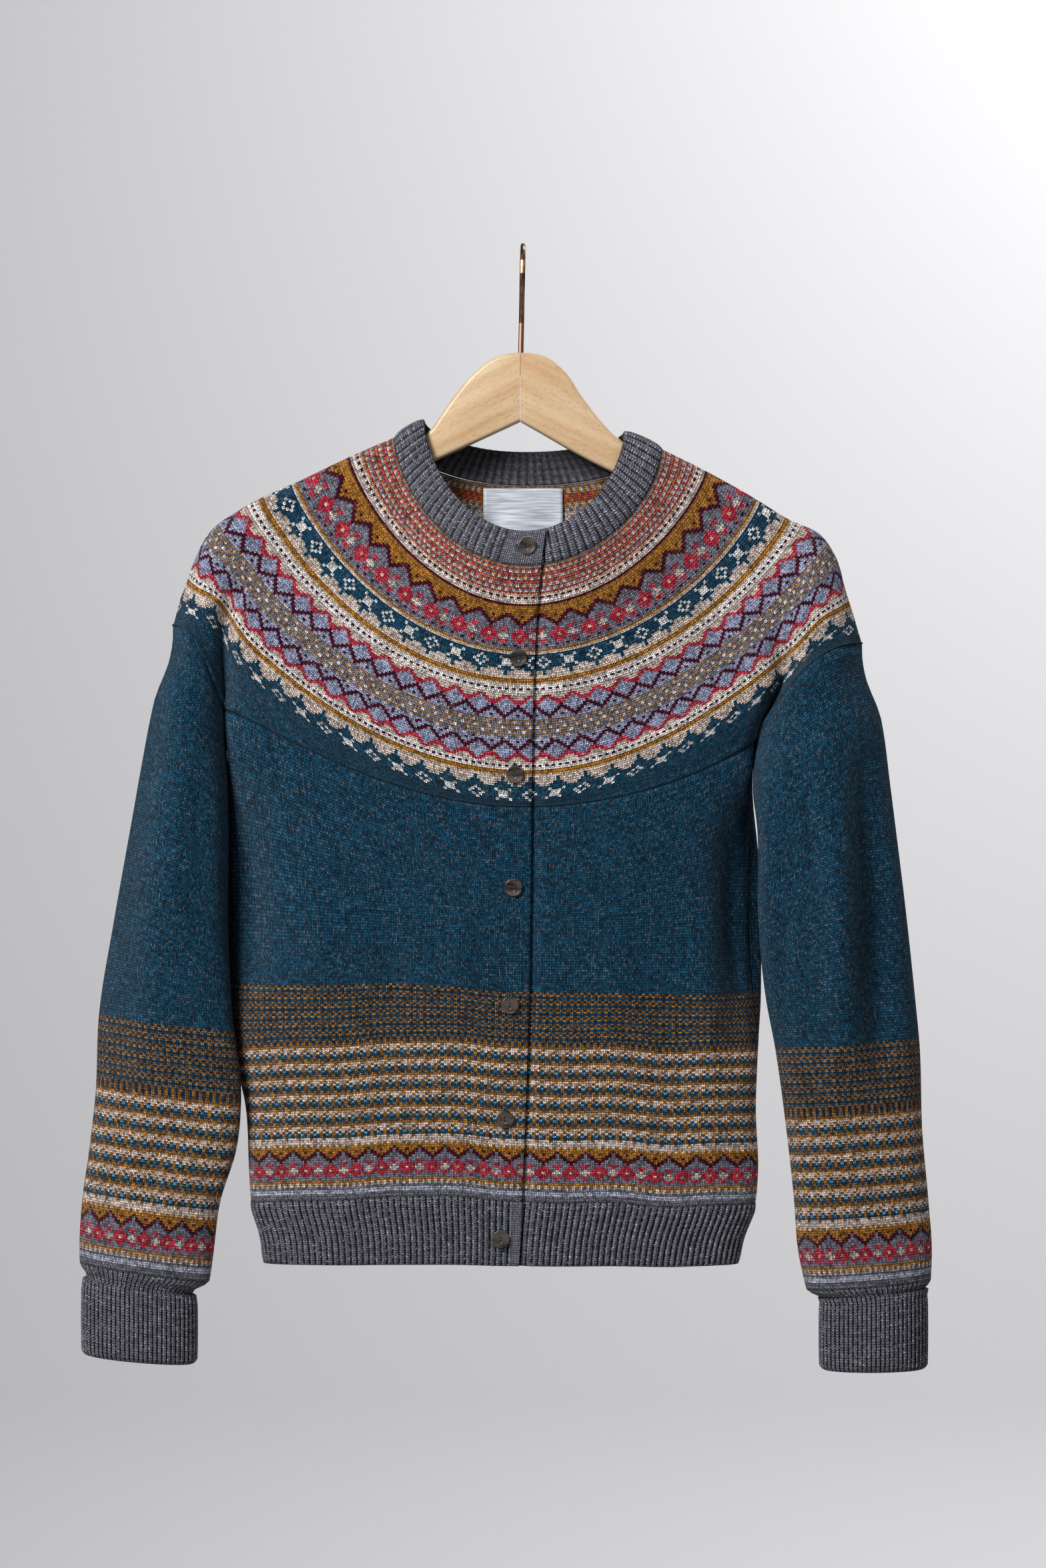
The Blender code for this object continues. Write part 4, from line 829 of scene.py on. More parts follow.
SLEEVE_CREASES = {
    "right": [
        ("front", -0.26, -0.36, -0.276, -0.6, 0.02, 0.004),
        ("front", -0.237, -0.37, -0.238, -0.52, 0.01, -0.003),
        ("front", -0.29, -0.42, -0.303, -0.64, 0.013, -0.0022),
        ("front", -0.256, -0.65, -0.282, -0.705, 0.01, -0.0032),
        ("back", -0.2225, -0.38, -0.2225, -0.53, 0.022, 0.003),
        ("back", -0.264, -0.38, -0.284, -0.64, 0.017, -0.004),
        ("back", -0.29, -0.43, -0.308, -0.66, 0.011, 0.0025),
    ],
    "left": [
        ("front", 0.226, -0.38, 0.237, -0.61, 0.015, 0.0125),
        ("front", 0.256, -0.385, 0.267, -0.62, 0.012, -0.01),
        ("front", 0.19, -0.44, 0.196, -0.6, 0.008, -0.002),
        ("front", 0.245, -0.65, 0.27, -0.7, 0.01, -0.003),
        ("back", 0.215, -0.38, 0.23, -0.62, 0.015, -0.004),
        ("back", 0.26, -0.4, 0.276, -0.64, 0.013, 0.003),
    ],
}


def sleeve_section(side, z, shares):
    outer_x, inner_x, depth, middle_y, turn = [through(SLEEVE[side], z, k) for k in range(1, 6)]
    a = np.linspace(0.0, 2.0 * math.pi, 241)
    x = 0.5 * (outer_x + inner_x) + 0.5 * (outer_x - inner_x) * np.cos(a)
    y = middle_y - depth * np.sin(a - turn * np.sin(a / 2) ** 2)
    return along(np.stack([x, y], axis=1), shares)


def sleeve_top(side):
    """The sleeve's upper edge, once round from the outer side by the front."""
    front, back = seam_lines(side, "front")[1][::-1], seam_lines(side, "back")[1]
    pit_x, pit_y, pit_z = PIT[side]
    strip = np.array([(pit_x, -pit_y + pit_y * k / 4, pit_z) for k in range(1, 8)])
    return np.concatenate([front, strip, back])


SLEEVE_LINES = {}
for side in ("right", "left"):
    shares = np.linspace(0.0, 1.0, SLEEVE_STITCHES + 1)
    top = along(sleeve_top(side), shares)
    top[:, 2] -= SEAM
    end_z, slope = SLEEVE_END[side]
    end_line = sleeve_section(side, end_z, shares)
    end = end_z + slope * (end_line[:, 0] - 0.5 * (end_line[:, 0].max() + end_line[:, 0].min()))
    pattern_top = end + PATTERN_HEIGHT[side]
    course = PATTERN_HEIGHT[side] / len(SLEEVE_CHART)
    heights = [top[:, 2] + (pattern_top - top[:, 2]) * k / 32 for k in range(32)]
    heights += [pattern_top - course * k for k in range(len(SLEEVE_CHART) + 1)]
    rows = []
    for z in heights:
        flat = np.array([sleeve_section(side, zj, [s])[0] for zj, s in zip(z, shares)])
        weight = ease((top[:, 2] - z) / BLEND_SLEEVE)[:, None]
        row = np.column_stack([top[:, :2] * (1.0 - weight) + flat * weight, z])
        row[-1] = row[0]
        rows.append(row)
    SLEEVE_LINES[side] = rows[-1]
    if side == "right":
        rows = [row[::-1] for row in rows]
    normals = frames_of(rows)
    rows = [fold(row, normal, SLEEVE_CREASES[side]) for row, normal in zip(rows, normals)]
    across = []
    for i, row in enumerate(rows):
        girth = run_of(row)[-1] / run_of(rows[32])[-1] if i < 32 else 1.0
        across.append((np.arange(len(row)) - SLEEVE_STITCHES / 2) * max(girth, 1.0))
    down = [-(float(np.mean(z - pattern_top)) / course) for z in heights]

    def sleeve_colour(i, j):
        return chart_colour(SLEEVE_CHART, i - 32, j) if i >= 32 else DYE["t"]

    sleeve = cloth_shell(f"{side}_sleeve", rows, sleeve_colour, across, down, normals, closed=True)
    finish_cloth(sleeve, lambswool, f"sleeve_{side}")

# ---- rib welts at the hem
# One-and-one rib in marled grey below each body piece. A rib stands about a millimetre proud
# of the furrow beside it.
HEM_Z = -0.759
RIB_HEIGHT = 0.0017
HEM_RIB_PITCH = 0.00475
HEM_BAND = 0.006
COLUMNS_A_RIB = 6

# Marled rib: one strand of pale grey twisted with one of charcoal, so that it is flecked.
marled_rib = knitted_wool("marled rib wool", 0.6, 0.15, 3.0, 1.6, "BCBBC2", 0.14, 0.3)


def rib_profile(count):
    """Height of a rib, rounded on top with a narrow furrow, a column each."""
    phase = np.arange(count) / COLUMNS_A_RIB
    return RIB_HEIGHT * np.abs(np.sin(math.pi * phase)) ** 0.8


def ribbed(rows, normals, pitch, rise=None, plain=0.0):
    """Columns set anew along each row, six to a rib, and raised where the ribs are.

    The first `plain` metres are knitted flat, as high as the ribs.
    """
    length = run_of(rows[0])[-1]
    ribs = max(2, round(length / pitch))
    shares = np.linspace(0.0, 1.0, ribs * COLUMNS_A_RIB + 1)
    flat = 1.0 - ease((shares * length - plain) / 0.001) if plain else np.zeros(len(shares))
    at = shares * (len(rows[0]) - 1)
    shaped, turned = [], []
    for i, (row, normal) in enumerate(zip(rows, normals)):
        place = np.stack([np.interp(at, np.arange(len(row)), row[:, k]) for k in range(3)], axis=1)
        out = np.stack([np.interp(at, np.arange(len(row)), normal[:, k]) for k in range(3)], axis=1)
        out /= np.linalg.norm(out, axis=1, keepdims=True)
        strength = 1.0 if rise is None else rise[i]
        lift = rib_profile(len(at)) * (1.0 - flat) + 0.8 * RIB_HEIGHT * flat
        shaped.append(place + out * (lift * strength)[:, None])
        turned.append(out)
    return shaped, turned, np.where(shares * length < plain, 2.0, 1.0) * shares * ribs


PAINTED_FURROW_SHADE = [0.12, 0.76, 1.14, 1.14, 0.76, 0.12]      # painted shade in the furrows and painted light on the crowns, across a rib from furrow to furrow


def marl_with_furrow_shade(i, j, spread=0.0):
    """Painted shade in the furrows between the ribs and painted light on their crowns, with less shade where
    the rib is spread open.
    """
    shade = PAINTED_FURROW_SHADE[j % COLUMNS_A_RIB] * (1.0 - spread) + 1.15 * spread
    return [c * shade for c in DYE["m"][:3]] + [1.0]


def marl_with_band(columns, spread=0.0):
    """The same, with so many columns at the front edge knitted flat and so without furrows or their painted
    shade.
    """
    return lambda i, j: DYE["m"] if j < columns else marl_with_furrow_shade(i, j, spread)


def hem_line(side, face, z):
    line = body_section(side, face, z, np.linspace(0.0, 1.0, 200))
    line[-1, 1] = FACE[face] * SEAM / 2
    settled = 1.0 - 0.75 * (RIB_TOP_Z - z) / (RIB_TOP_Z - HEM_Z)
    return np.column_stack([line, z + settled * sway(line[:, 0], RIB_TOP_Z)])


def hem_rows(heights, kind):
    rows = []
    for z in heights:
        if kind == "back":
            rows.append(np.concatenate([hem_line("right", "back", z)[::-1], hem_line("left", "back", z)[1:]]))
        else:
            line = hem_line(kind, "front", z)
            rows.append(line if kind == "right" else line[::-1])
    return rows


hem_heights = np.linspace(RIB_TOP_Z, HEM_Z, 15)
hem_rise = [0.25, 0.7] + [1.0] * 11 + [0.85, 0.5]
for name, kind, node_name, flat, area in (
    ("right_hem_rib", "right", "hem_rib_front_right", (0.24, 0.05), 0.011),
    ("left_hem_rib", "left", "hem_rib_front_left", (0.24, 0.05), 0.011),
    ("back_hem_rib", "back", "hem_rib_back", (0.44, 0.05), 0.0205),
):
    rows = hem_rows(hem_heights, kind)
    band = HEM_BAND if kind == "right" else 0.0
    shaped, turned, wales = ribbed(rows, frames_of(rows), HEM_RIB_PITCH, hem_rise, band)
    down = [-(z - RIB_TOP_Z) / BODY_COURSE for z in hem_heights]
    # painted shade in the rib furrows and painted light on the crowns, none in the flat band at the right
    # front's edge
    tint = marl_with_band(round(band / HEM_RIB_PITCH * COLUMNS_A_RIB))
    welt = cloth_shell(name, shaped, tint, [wales] * len(shaped), down, turned, coarse=2)
    finish_cloth(welt, marled_rib, node_name)

# ---- cuffs
# The rib below each sleeve is turned back up over itself, so that the cuff is a double wall
# with a soft fold below and a free, cast-off edge above.
CUFF_RIB_PITCH = 0.0041
CUFF_STAND = 0.0028
CUFF_NARROWING = 7.0
CUFF_WALL = 0.002
CUFF_CLEARANCE = 0.0004
CUFF_FOLD_ROUND = 0.004
UP = np.array([0.0, 0.0, 1.0])
CUFF = {
    "right": {"free": (-0.7775, -0.14), "fold": (-0.832, -0.09), "x": (-0.3255, -0.2485), "depth": 0.02},
    "left": {"free": (-0.7825, 0.073), "fold": (-0.8395, 0.01), "x": (0.298, 0.2265), "depth": 0.02},
}
for side in ("right", "left"):
    sizes = CUFF[side]
    ribs = round(run_of(SLEEVE_LINES[side])[-1] / CUFF_RIB_PITCH)
    shares = np.linspace(0.0, 1.0, ribs * COLUMNS_A_RIB + 1)
    top = along(SLEEVE_LINES[side], shares)
    top[:, 2] -= SEAM
    middle = 0.5 * sum(sizes["x"])
    half = 0.5 * (sizes["x"][0] - sizes["x"][1])
    a = np.linspace(0.0, 2.0 * math.pi, 241)
    low = along(np.stack([middle + half * np.cos(a), -0.004 - sizes["depth"] * np.sin(a)], axis=1), shares)
    low = np.column_stack([low, sizes["fold"][0] + sizes["fold"][1] * (low[:, 0] - middle)])
    free = sizes["free"][0] + sizes["free"][1] * (top[:, 0] - 0.5 * (top[:, 0].max() + top[:, 0].min()))
    if side == "right":
        top, low, free = top[::-1], low[::-1], free[::-1]

    def tube(z, top=top, low=low):
        t = ((top[:, 2] - z) / (top[:, 2] - low[:, 2]))[:, None]
        narrow = ease(t * CUFF_NARROWING)
        line = top * (1.0 - narrow) + low * narrow
        line[:, 2] = z
        return line

    drop = low[:, 2] - top[:, 2]
    inner_line = [tube(top[:, 2] + drop * t) for t in (0.0, 0.05, 0.1, 0.16, 0.3, 0.6, 0.9)]
    level = frames_of([top, tube(0.5 * (top[:, 2] + low[:, 2])), low])[1]
    level[:, 2] = 0.0
    level /= np.linalg.norm(level, axis=1, keepdims=True)
    level[0] = level[-1] = (level[0] + level[-1]) / np.linalg.norm(level[0] + level[-1])
    wave = rib_profile(len(shares))[:, None]
    rows = [line + level * (wave * 0.5 * min(1.0, k / 3)) for k, line in enumerate(inner_line[:4])]
    free_line = tube(free)
    for t in (0.35, 0.65, 0.92):
        rows.append(tube(top[:, 2] + drop * t))
    for t in (0.92, 0.5, 0.0):
        rows.append(tube(free + (low[:, 2] - free) * t) + level * CUFF_CLEARANCE)
    rows.append(free_line + level * (CUFF_STAND - 0.0002) + UP * 0.0006)
    for t in np.linspace(0.0, 0.93, 14):
        line = tube(free + (low[:, 2] - free) * t)
        belly = 0.0004 * math.sin(math.pi * t)
        rows.append(line + level * (CUFF_STAND + CUFF_CLEARANCE + belly + wave * min(1.0, 0.5 + 4 * t)))
    for turn in (25, 55, 80):
        s, c = math.sin(math.radians(turn)), math.cos(math.radians(turn))
        rows.append(low + level * ((CUFF_STAND + wave) * c) + UP * (CUFF_FOLD_ROUND * (1.0 - s)))
    rows.append(low - level * 0.001 + UP * 0.0004)
    rows += [line - level * CUFF_WALL for line in inner_line[::-1]]
    count = len(shares) - 1
    vertices = np.concatenate([row[:-1] for row in rows])
    faces, uvs = [], []
    for i in range(len(rows)):
        following = (i + 1) % len(rows)
        for j in range(count):
            k = (j + 1) % count
            faces.append((i * count + j, following * count + j, following * count + k, i * count + k))
            u0, u1 = j / COLUMNS_A_RIB, (j + 1) / COLUMNS_A_RIB
            uvs += [(u0, i * 2.0), (u0, i * 2.0 + 2.0), (u1, i * 2.0 + 2.0), (u1, i * 2.0)]
    mesh = bpy.data.meshes.new(f"{side}_cuff")
    mesh.from_pydata(vertices.tolist(), [], faces)
    yarn = mesh.color_attributes.new("yarn", "FLOAT_COLOR", "CORNER")
    # each column's colour carries painted shade in the rib furrows and painted light on the crowns
    dyes = [marl_with_furrow_shade(0, j) for j in range(count)] * len(rows)
    yarn.data.foreach_set("color", np.repeat(np.array(dyes, np.float32), 4, axis=0).ravel())
    mesh.uv_layers.new(name="stitches").data.foreach_set("uv", np.array(uvs, np.float32).ravel())
    shape = bmesh.new()
    shape.from_mesh(mesh)
    bmesh.ops.recalc_face_normals(shape, faces=shape.faces)
    shape.to_mesh(mesh)
    shape.free()
    mesh.shade_smooth()
    cuff = bpy.data.objects.new(f"{side}_cuff", mesh)
    bpy.context.scene.collection.objects.link(cuff)
    finish_cloth(cuff, marled_rib, f"cuff_{side}")

# ---- neckband
# Picked up round the neck and knitted in the same marled rib. It stands up against the
# hanger at the sides and lies flat in front, where its ends overlap.
NECK_RIB_PITCH = 0.0053
NECK_BAND = 0.026
NECK_THICK = 0.0026
NECK_SPREAD = 0.2                     # how far the ribs are spread open round the neck, which lightens their painted furrow shade
NECK_POINT_SPACING = 0.0012           # spacing of the points from which the ribs are set
BAND_BELLY = 0.0013
BAND_TOP = {"right": (-0.074, -0.1285), "left": (0.0755, -0.1375)}
BAND_TOP_BACK_Z = -0.1507
BAND_SWELL = {"front": 0.025, "back": 0.013}


def band_top(counts):
    def quarter(side, face, before, after):
        middle_z = BAND_TOP_FRONT_Z if face == "front" else BAND_TOP_BACK_Z
        line = row_quarter(side, face, BAND_TOP[side], middle_z, 0.6, 0.0105, BAND_SWELL[face])
        return along(line, np.linspace(0.0, 1.0, before + after + 1))
    return whole_row(quarter, counts)


neck_counts = ring_counts(0.0, NECK_POINT_SPACING)
neck_low = yoke_row(0.0, neck_counts)
neck_high = band_top(neck_counts)
rise = neck_high - neck_low
neck_low = neck_low + rise / np.linalg.norm(rise, axis=1, keepdims=True) * SEAM
plain = [neck_high, 0.5 * (neck_high + neck_low), neck_low]
out = frames_of(plain)[1]
band_rows = []
for t in np.linspace(0.0, 1.0, 12):
    belly = BAND_BELLY * math.sin(math.pi * t)
    band_rows.append(neck_high * (1.0 - t) + neck_low * t + out * belly)
band_normals = frames_of(band_rows)
neck_rise = [0.3, 0.8] + [1.0] * 8 + [0.8, 0.3]
shaped, turned, wales = ribbed(band_rows, band_normals, NECK_RIB_PITCH, neck_rise, NECK_BAND)
down = list(np.linspace(0.0, 15.0, len(shaped)))
# painted shade in the rib furrows, lighter for the spread, none in the flat band at the front
tint = marl_with_band(round(NECK_BAND / NECK_RIB_PITCH * COLUMNS_A_RIB), NECK_SPREAD)
neckband = cloth_shell("neck_rib", shaped, tint, [wales] * len(shaped), down, turned, NECK_THICK, coarse=1)
finish_cloth(neckband, marled_rib, "neckband")

# ---- buttons
# Seven two-hole buttons of smoky shell, 13 mm across: a shallow dish with a soft rim and an
# upright eye cut in its middle, polished, and sewn on through the eye with teal thread.
BUTTON_RADIUS = 0.0065
BUTTON_THICK = 0.0022
BUTTON_RIM = 0.0007
BUTTON_HOLES_Z = (-0.0014, 0.0014)
FACING_CAMERA = (math.pi / 2, 0.0, 0.0)


def tint_between(tint, low, low_at, high, high_at):
    """Sets the two colours of a ramp and where they stand on it."""
    first, last = tint.node.color_ramp.elements
    first.color, last.color = linear(low), linear(high)
    first.position, last.position = low_at, high_at


# Smoky shell, sawn and polished: dark layers that show through a thin clear gloss.
shell, tree, shader = new_material("smoky shell")
spot = node(tree, "TexCoord", output="Object")
drawn = node(tree, "Mapping", {"Vector": spot, "Scale": (45.0, 45.0, 190.0), "Rotation": (0.0, 0.5, 0.0)})
layers = node(tree, "TexNoise", {"Vector": drawn, "Scale": 1.0, "Detail": 2.0, "Distortion": 0.8}, "Fac")
tint = node(tree, "ValToRGB", [layers])
tint_between(tint, "1A1614", 0.34, "544A44", 0.68)
tree.links.new(tint, shader.inputs["Base Color"])
tree.links.new(node(tree, "MapRange", {0: layers, 3: 0.2, 4: 0.34}), shader.inputs["Roughness"])
shader.inputs["Coat Weight"].default_value = 0.2

# Polyester thread, twisted: fine slanting bands of light and shade.
thread, tree, shader = new_material("teal sewing thread")
spot = node(tree, "TexCoord", output="Object")
wound = {"Vector": spot, "Scale": 420.0, "Distortion": 2.0}
twist = node(tree, "TexWave", wound, "Fac", bands_direction="DIAGONAL")
tint = node(tree, "ValToRGB", [twist])
tint_between(tint, "0A222E", 0.0, "1F5063", 1.0)
tree.links.new(tint, shader.inputs["Base Color"])
bump = node(tree, "Bump", {"Height": twist, "Distance": 0.0002, "Strength": 0.8})
tree.links.new(bump, shader.inputs["Normal"])
shader.inputs["Roughness"].default_value = 0.75


def deselect():
    for other in bpy.context.selected_objects:
        other.select_set(False)


def select_in_edit(piece, test):
    """In edit mode, selects the faces that pass a test."""
    bpy.ops.object.mode_set(mode="EDIT")
    bpy.ops.mesh.select_mode(type="FACE")
    bpy.ops.mesh.select_all(action="DESELECT")
    bpy.ops.object.mode_set(mode="OBJECT")
    for face in piece.data.polygons:
        face.select = test(face)
    bpy.ops.object.mode_set(mode="EDIT")


def cut_away(piece, cutter):
    """Cuts a tool's shape out of a piece and puts the tool away."""
    deselect()
    piece.select_set(True)
    bpy.context.view_layer.objects.active = piece
    cut = piece.modifiers.new("cut", "BOOLEAN")
    cut.object = cutter
    cut.operation = "DIFFERENCE"
    cut.solver = "EXACT"
    bpy.ops.object.modifier_apply(modifier="cut")
    bpy.data.objects.remove(cutter, do_unlink=True)


deselect()
bpy.ops.mesh.primitive_cylinder_add(
    vertices=64, radius=BUTTON_RADIUS, depth=BUTTON_THICK, rotation=FACING_CAMERA
)
pattern_button = bpy.context.object
bpy.ops.object.transform_apply(location=True, rotation=True, scale=True)
select_in_edit(pattern_button, lambda face: face.normal.y < -0.9)
bpy.ops.mesh.inset(thickness=BUTTON_RIM)
bpy.ops.mesh.inset(thickness=0.0009)
bpy.ops.transform.translate(value=(0.0, 0.0003, 0.0))
bpy.ops.mesh.inset(thickness=0.0022)
bpy.ops.transform.translate(value=(0.0, 0.0002, 0.0))
bpy.ops.object.mode_set(mode="OBJECT")
bevel = pattern_button.modifiers.new("rim", "BEVEL")
bevel.width = 0.0004
bevel.segments = 3
bevel.limit_method = "ANGLE"
bevel.angle_limit = math.radians(30)
bpy.ops.object.modifier_apply(modifier="rim")
deselect()
bpy.ops.mesh.primitive_uv_sphere_add(segments=32, ring_count=20, radius=0.001, location=(0.0, -0.0008, 0.0))
eye = bpy.context.object
bpy.ops.transform.resize(value=(1.25, 0.75, 3.4))
bpy.ops.object.transform_apply(location=True, rotation=True, scale=True)
cut_away(pattern_button, eye)
for hole_z in BUTTON_HOLES_Z:
    deselect()
    bpy.ops.mesh.primitive_cylinder_add(
        vertices=20, radius=0.0007, depth=0.01, location=(0.0, 0.0, hole_z), rotation=FACING_CAMERA
    )
    cut_away(pattern_button, bpy.context.object)
bpy.ops.object.shade_smooth_by_angle(angle=math.radians(40))
pattern_button.data.materials.append(shell)

# the thread's one stitch on the face, and the overcast slit of the buttonhole behind
deselect()
bpy.ops.mesh.primitive_uv_sphere_add(segments=12, ring_count=10, radius=0.001)
pattern_thread = bpy.context.object
bpy.ops.transform.resize(value=(0.42, 0.45, 1.9))
bpy.ops.object.transform_apply(location=True, rotation=True, scale=True)
bpy.ops.object.shade_smooth()
pattern_thread.data.materials.append(thread)

HOLE_LENGTH = 0.018
deselect()
bpy.ops.mesh.primitive_torus_add(
    major_segments=40, minor_segments=10, major_radius=0.0011, minor_radius=0.0006, rotation=FACING_CAMERA
)
pattern_hole = bpy.context.object
bpy.ops.object.transform_apply(location=True, rotation=True, scale=True)
for vertex in pattern_hole.data.vertices:
    vertex.co.z += math.copysign(HOLE_LENGTH / 2 - 0.0017, vertex.co.z)
bpy.ops.object.shade_smooth()
pattern_hole.data.materials.append(thread)

for number in range(1, 8):
    low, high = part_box(f"button_{number}")
    middle = (Vector(low) + Vector(high)) / 2
    button = bpy.data.objects.new(f"shell_button_{number}", pattern_button.data.copy())
    button.data.transform(Matrix.Translation(middle))
    stitch = bpy.data.objects.new(f"button_thread_{number}", pattern_thread.data.copy())
    stitch.data.transform(Matrix.Translation(middle - Vector((0.0, 0.0003, 0.0))))
    hole = bpy.data.objects.new(f"buttonhole_{number}", pattern_hole.data.copy())
    if number == 1:
        hole.data.transform(Matrix.Rotation(math.pi / 2, 4, "Y"))
    hole.data.transform(Matrix.Translation(Vector((middle.x, high[1] - 0.0002, middle.z))))
    for piece in (button, stitch, hole):
        bpy.context.scene.collection.objects.link(piece)
        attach(piece, "root")
    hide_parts(f"button_{number}")
for pattern in (pattern_button, pattern_thread, pattern_hole):
    bpy.data.objects.remove(pattern, do_unlink=True)

# ---- neck label
# A strip of white satin, sewn along its top edge at the back of the neck and bare.
# Its long smooth floats lie level; their shine is painted into its pale grey colour as level streaks.
LABEL_WAVE = 0.0034
satin, tree, shader = new_material("woven satin")
spot = node(tree, "TexCoord", output="Object")
weave = node(tree, "TexWave", {"Vector": spot, "Scale": 900.0}, "Fac", wave_type="BANDS", bands_direction="Z")
bump = node(tree, "Bump", {"Height": weave, "Distance": 0.00005, "Strength": 0.5})
tree.links.new(bump, shader.inputs["Normal"])
floats = node(tree, "Mapping", {"Vector": spot, "Scale": (40.0, 1.0, 900.0)})
# painted sheen: level streaks of paler and darker grey in the satin's colour
painted_sheen_streaks = node(tree, "TexNoise", {"Vector": floats, "Scale": 1.0, "Detail": 2.0}, "Fac")
tint = node(tree, "ValToRGB", [painted_sheen_streaks])
tint_between(tint, "8F939C", 0.35, "C4C8D0", 0.65)
tree.links.new(tint, shader.inputs["Base Color"])
shader.inputs["Roughness"].default_value = 0.3
shader.inputs["Sheen Weight"].default_value = 0.15

low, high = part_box("neck_label")
columns, lines = 25, 15
front_y = low[1]
grid = []
for i in range(lines):
    t = i / (lines - 1)
    z = high[2] + (low[2] - high[2]) * t
    xs = np.linspace(low[0], high[0], columns)
    s = (xs - xs.mean()) / (xs[-1] - xs[0])
    lift = LABEL_WAVE * ease((t - 0.1) / 0.9) * (np.cos(2.0 * math.pi * s * 1.3 + 0.8) * 0.5 + 0.3)
    grid.append(np.stack([xs, front_y - lift, np.full(columns, z)], axis=1))
label = cloth_shell(
    "neck_label_strip", grid, lambda i, j: DYE["w"], [np.arange(columns)] * lines, list(range(lines)),
    [np.tile(np.array([0.0, -1.0, 0.0]), (columns, 1))] * lines, 0.0004, coarse=1
)
finish_cloth(label, satin, "neck_label")

# ---- hanger
# A flat beech board in two mitred halves, 13 mm thick, with its edges rounded over, sanded and
# varnished. The grain follows the slope of each half. The bent wire hook is let into the joint.
BOARD_THICK = 0.013
BOARD_EDGE_ROUND = 0.003
MITRE_X = -0.002
TIP_BULGE = 0.6        # how far a board's tip is rounded out, as a share of its half height
WIRE_HOLE = (0.0024, -0.0965)          # radius and foot of the hole in the joint
BOARD_SLOPE = {"right": 0.46, "left": -0.46}
BOARD_TOP = {
    "right": [
        (-0.002, -0.0785), (-0.013, -0.0795), (-0.024, -0.0838), (-0.036, -0.093), (-0.048, -0.1065),
        (-0.06, -0.123), (-0.07, -0.137), (-0.096, -0.151), (-0.125, -0.159), (-0.167, -0.179),
        (-0.2, -0.1945),
    ],
    "left": [
        (-0.002, -0.0785), (0.01, -0.0795), (0.0215, -0.0838), (0.032, -0.093), (0.043, -0.1095),
        (0.0565, -0.127), (0.072, -0.143), (0.1045, -0.1585), (0.1315, -0.1695), (0.168, -0.1895),
        (0.193, -0.2045),
    ],
}
BOARD_BOTTOM = {
    "right": [(-0.002, -0.13), (-0.0625, -0.158), (-0.096, -0.174), (-0.14, -0.19), (-0.203, -0.213)],
    "left": [(-0.002, -0.13), (0.064, -0.1665), (0.104, -0.184), (0.15, -0.203), (0.196, -0.223)],
}


def beech_board(side):
    """Sanded and varnished beech with short darker ray flecks, a millimetre or two, along the grain."""
    material, tree, shader = new_material(f"varnished beech, {side} half")
    spot = node(tree, "TexCoord", output="Object")
    turned = node(tree, "Mapping", {"Vector": spot, "Rotation": (0.0, BOARD_SLOPE[side], 0.0)})
    along_grain = node(tree, "Mapping", {"Vector": turned, "Scale": (9.0, 70.0, 130.0)})
    grain = node(tree, "TexNoise", {"Vector": along_grain, "Scale": 1.0, "Detail": 4.0}, "Fac")
    tint = node(tree, "ValToRGB", [grain])
    tint_between(tint, "AF8C65", 0.3, "C0A887", 0.66)
    dashes = node(tree, "Mapping", {"Vector": turned, "Scale": (330.0, 400.0, 1500.0)})
    rays = node(tree, "TexNoise", {"Vector": dashes, "Scale": 1.0, "Detail": 1.0}, "Fac")
    mark = node(tree, "MapRange", [rays, 0.6, 0.7, 0.0, 0.45])
    tone = node(tree, "Mix", {0: mark, 6: tint, 7: linear("86603A")}, 2, data_type="RGBA")
    tree.links.new(tone, shader.inputs["Base Color"])
    bump = node(tree, "Bump", {"Height": grain, "Distance": 0.0002, "Strength": 0.3})
    tree.links.new(bump, shader.inputs["Normal"])
    shader.inputs["Roughness"].default_value = 0.42
    return material


def smooth_line(points, samples):
    by_run = np.column_stack([run_of(np.array(points)), points])
    at = np.linspace(0.0, by_run[-1, 0], samples)
    return np.column_stack([through(by_run, at, 1), through(by_run, at, 2)])


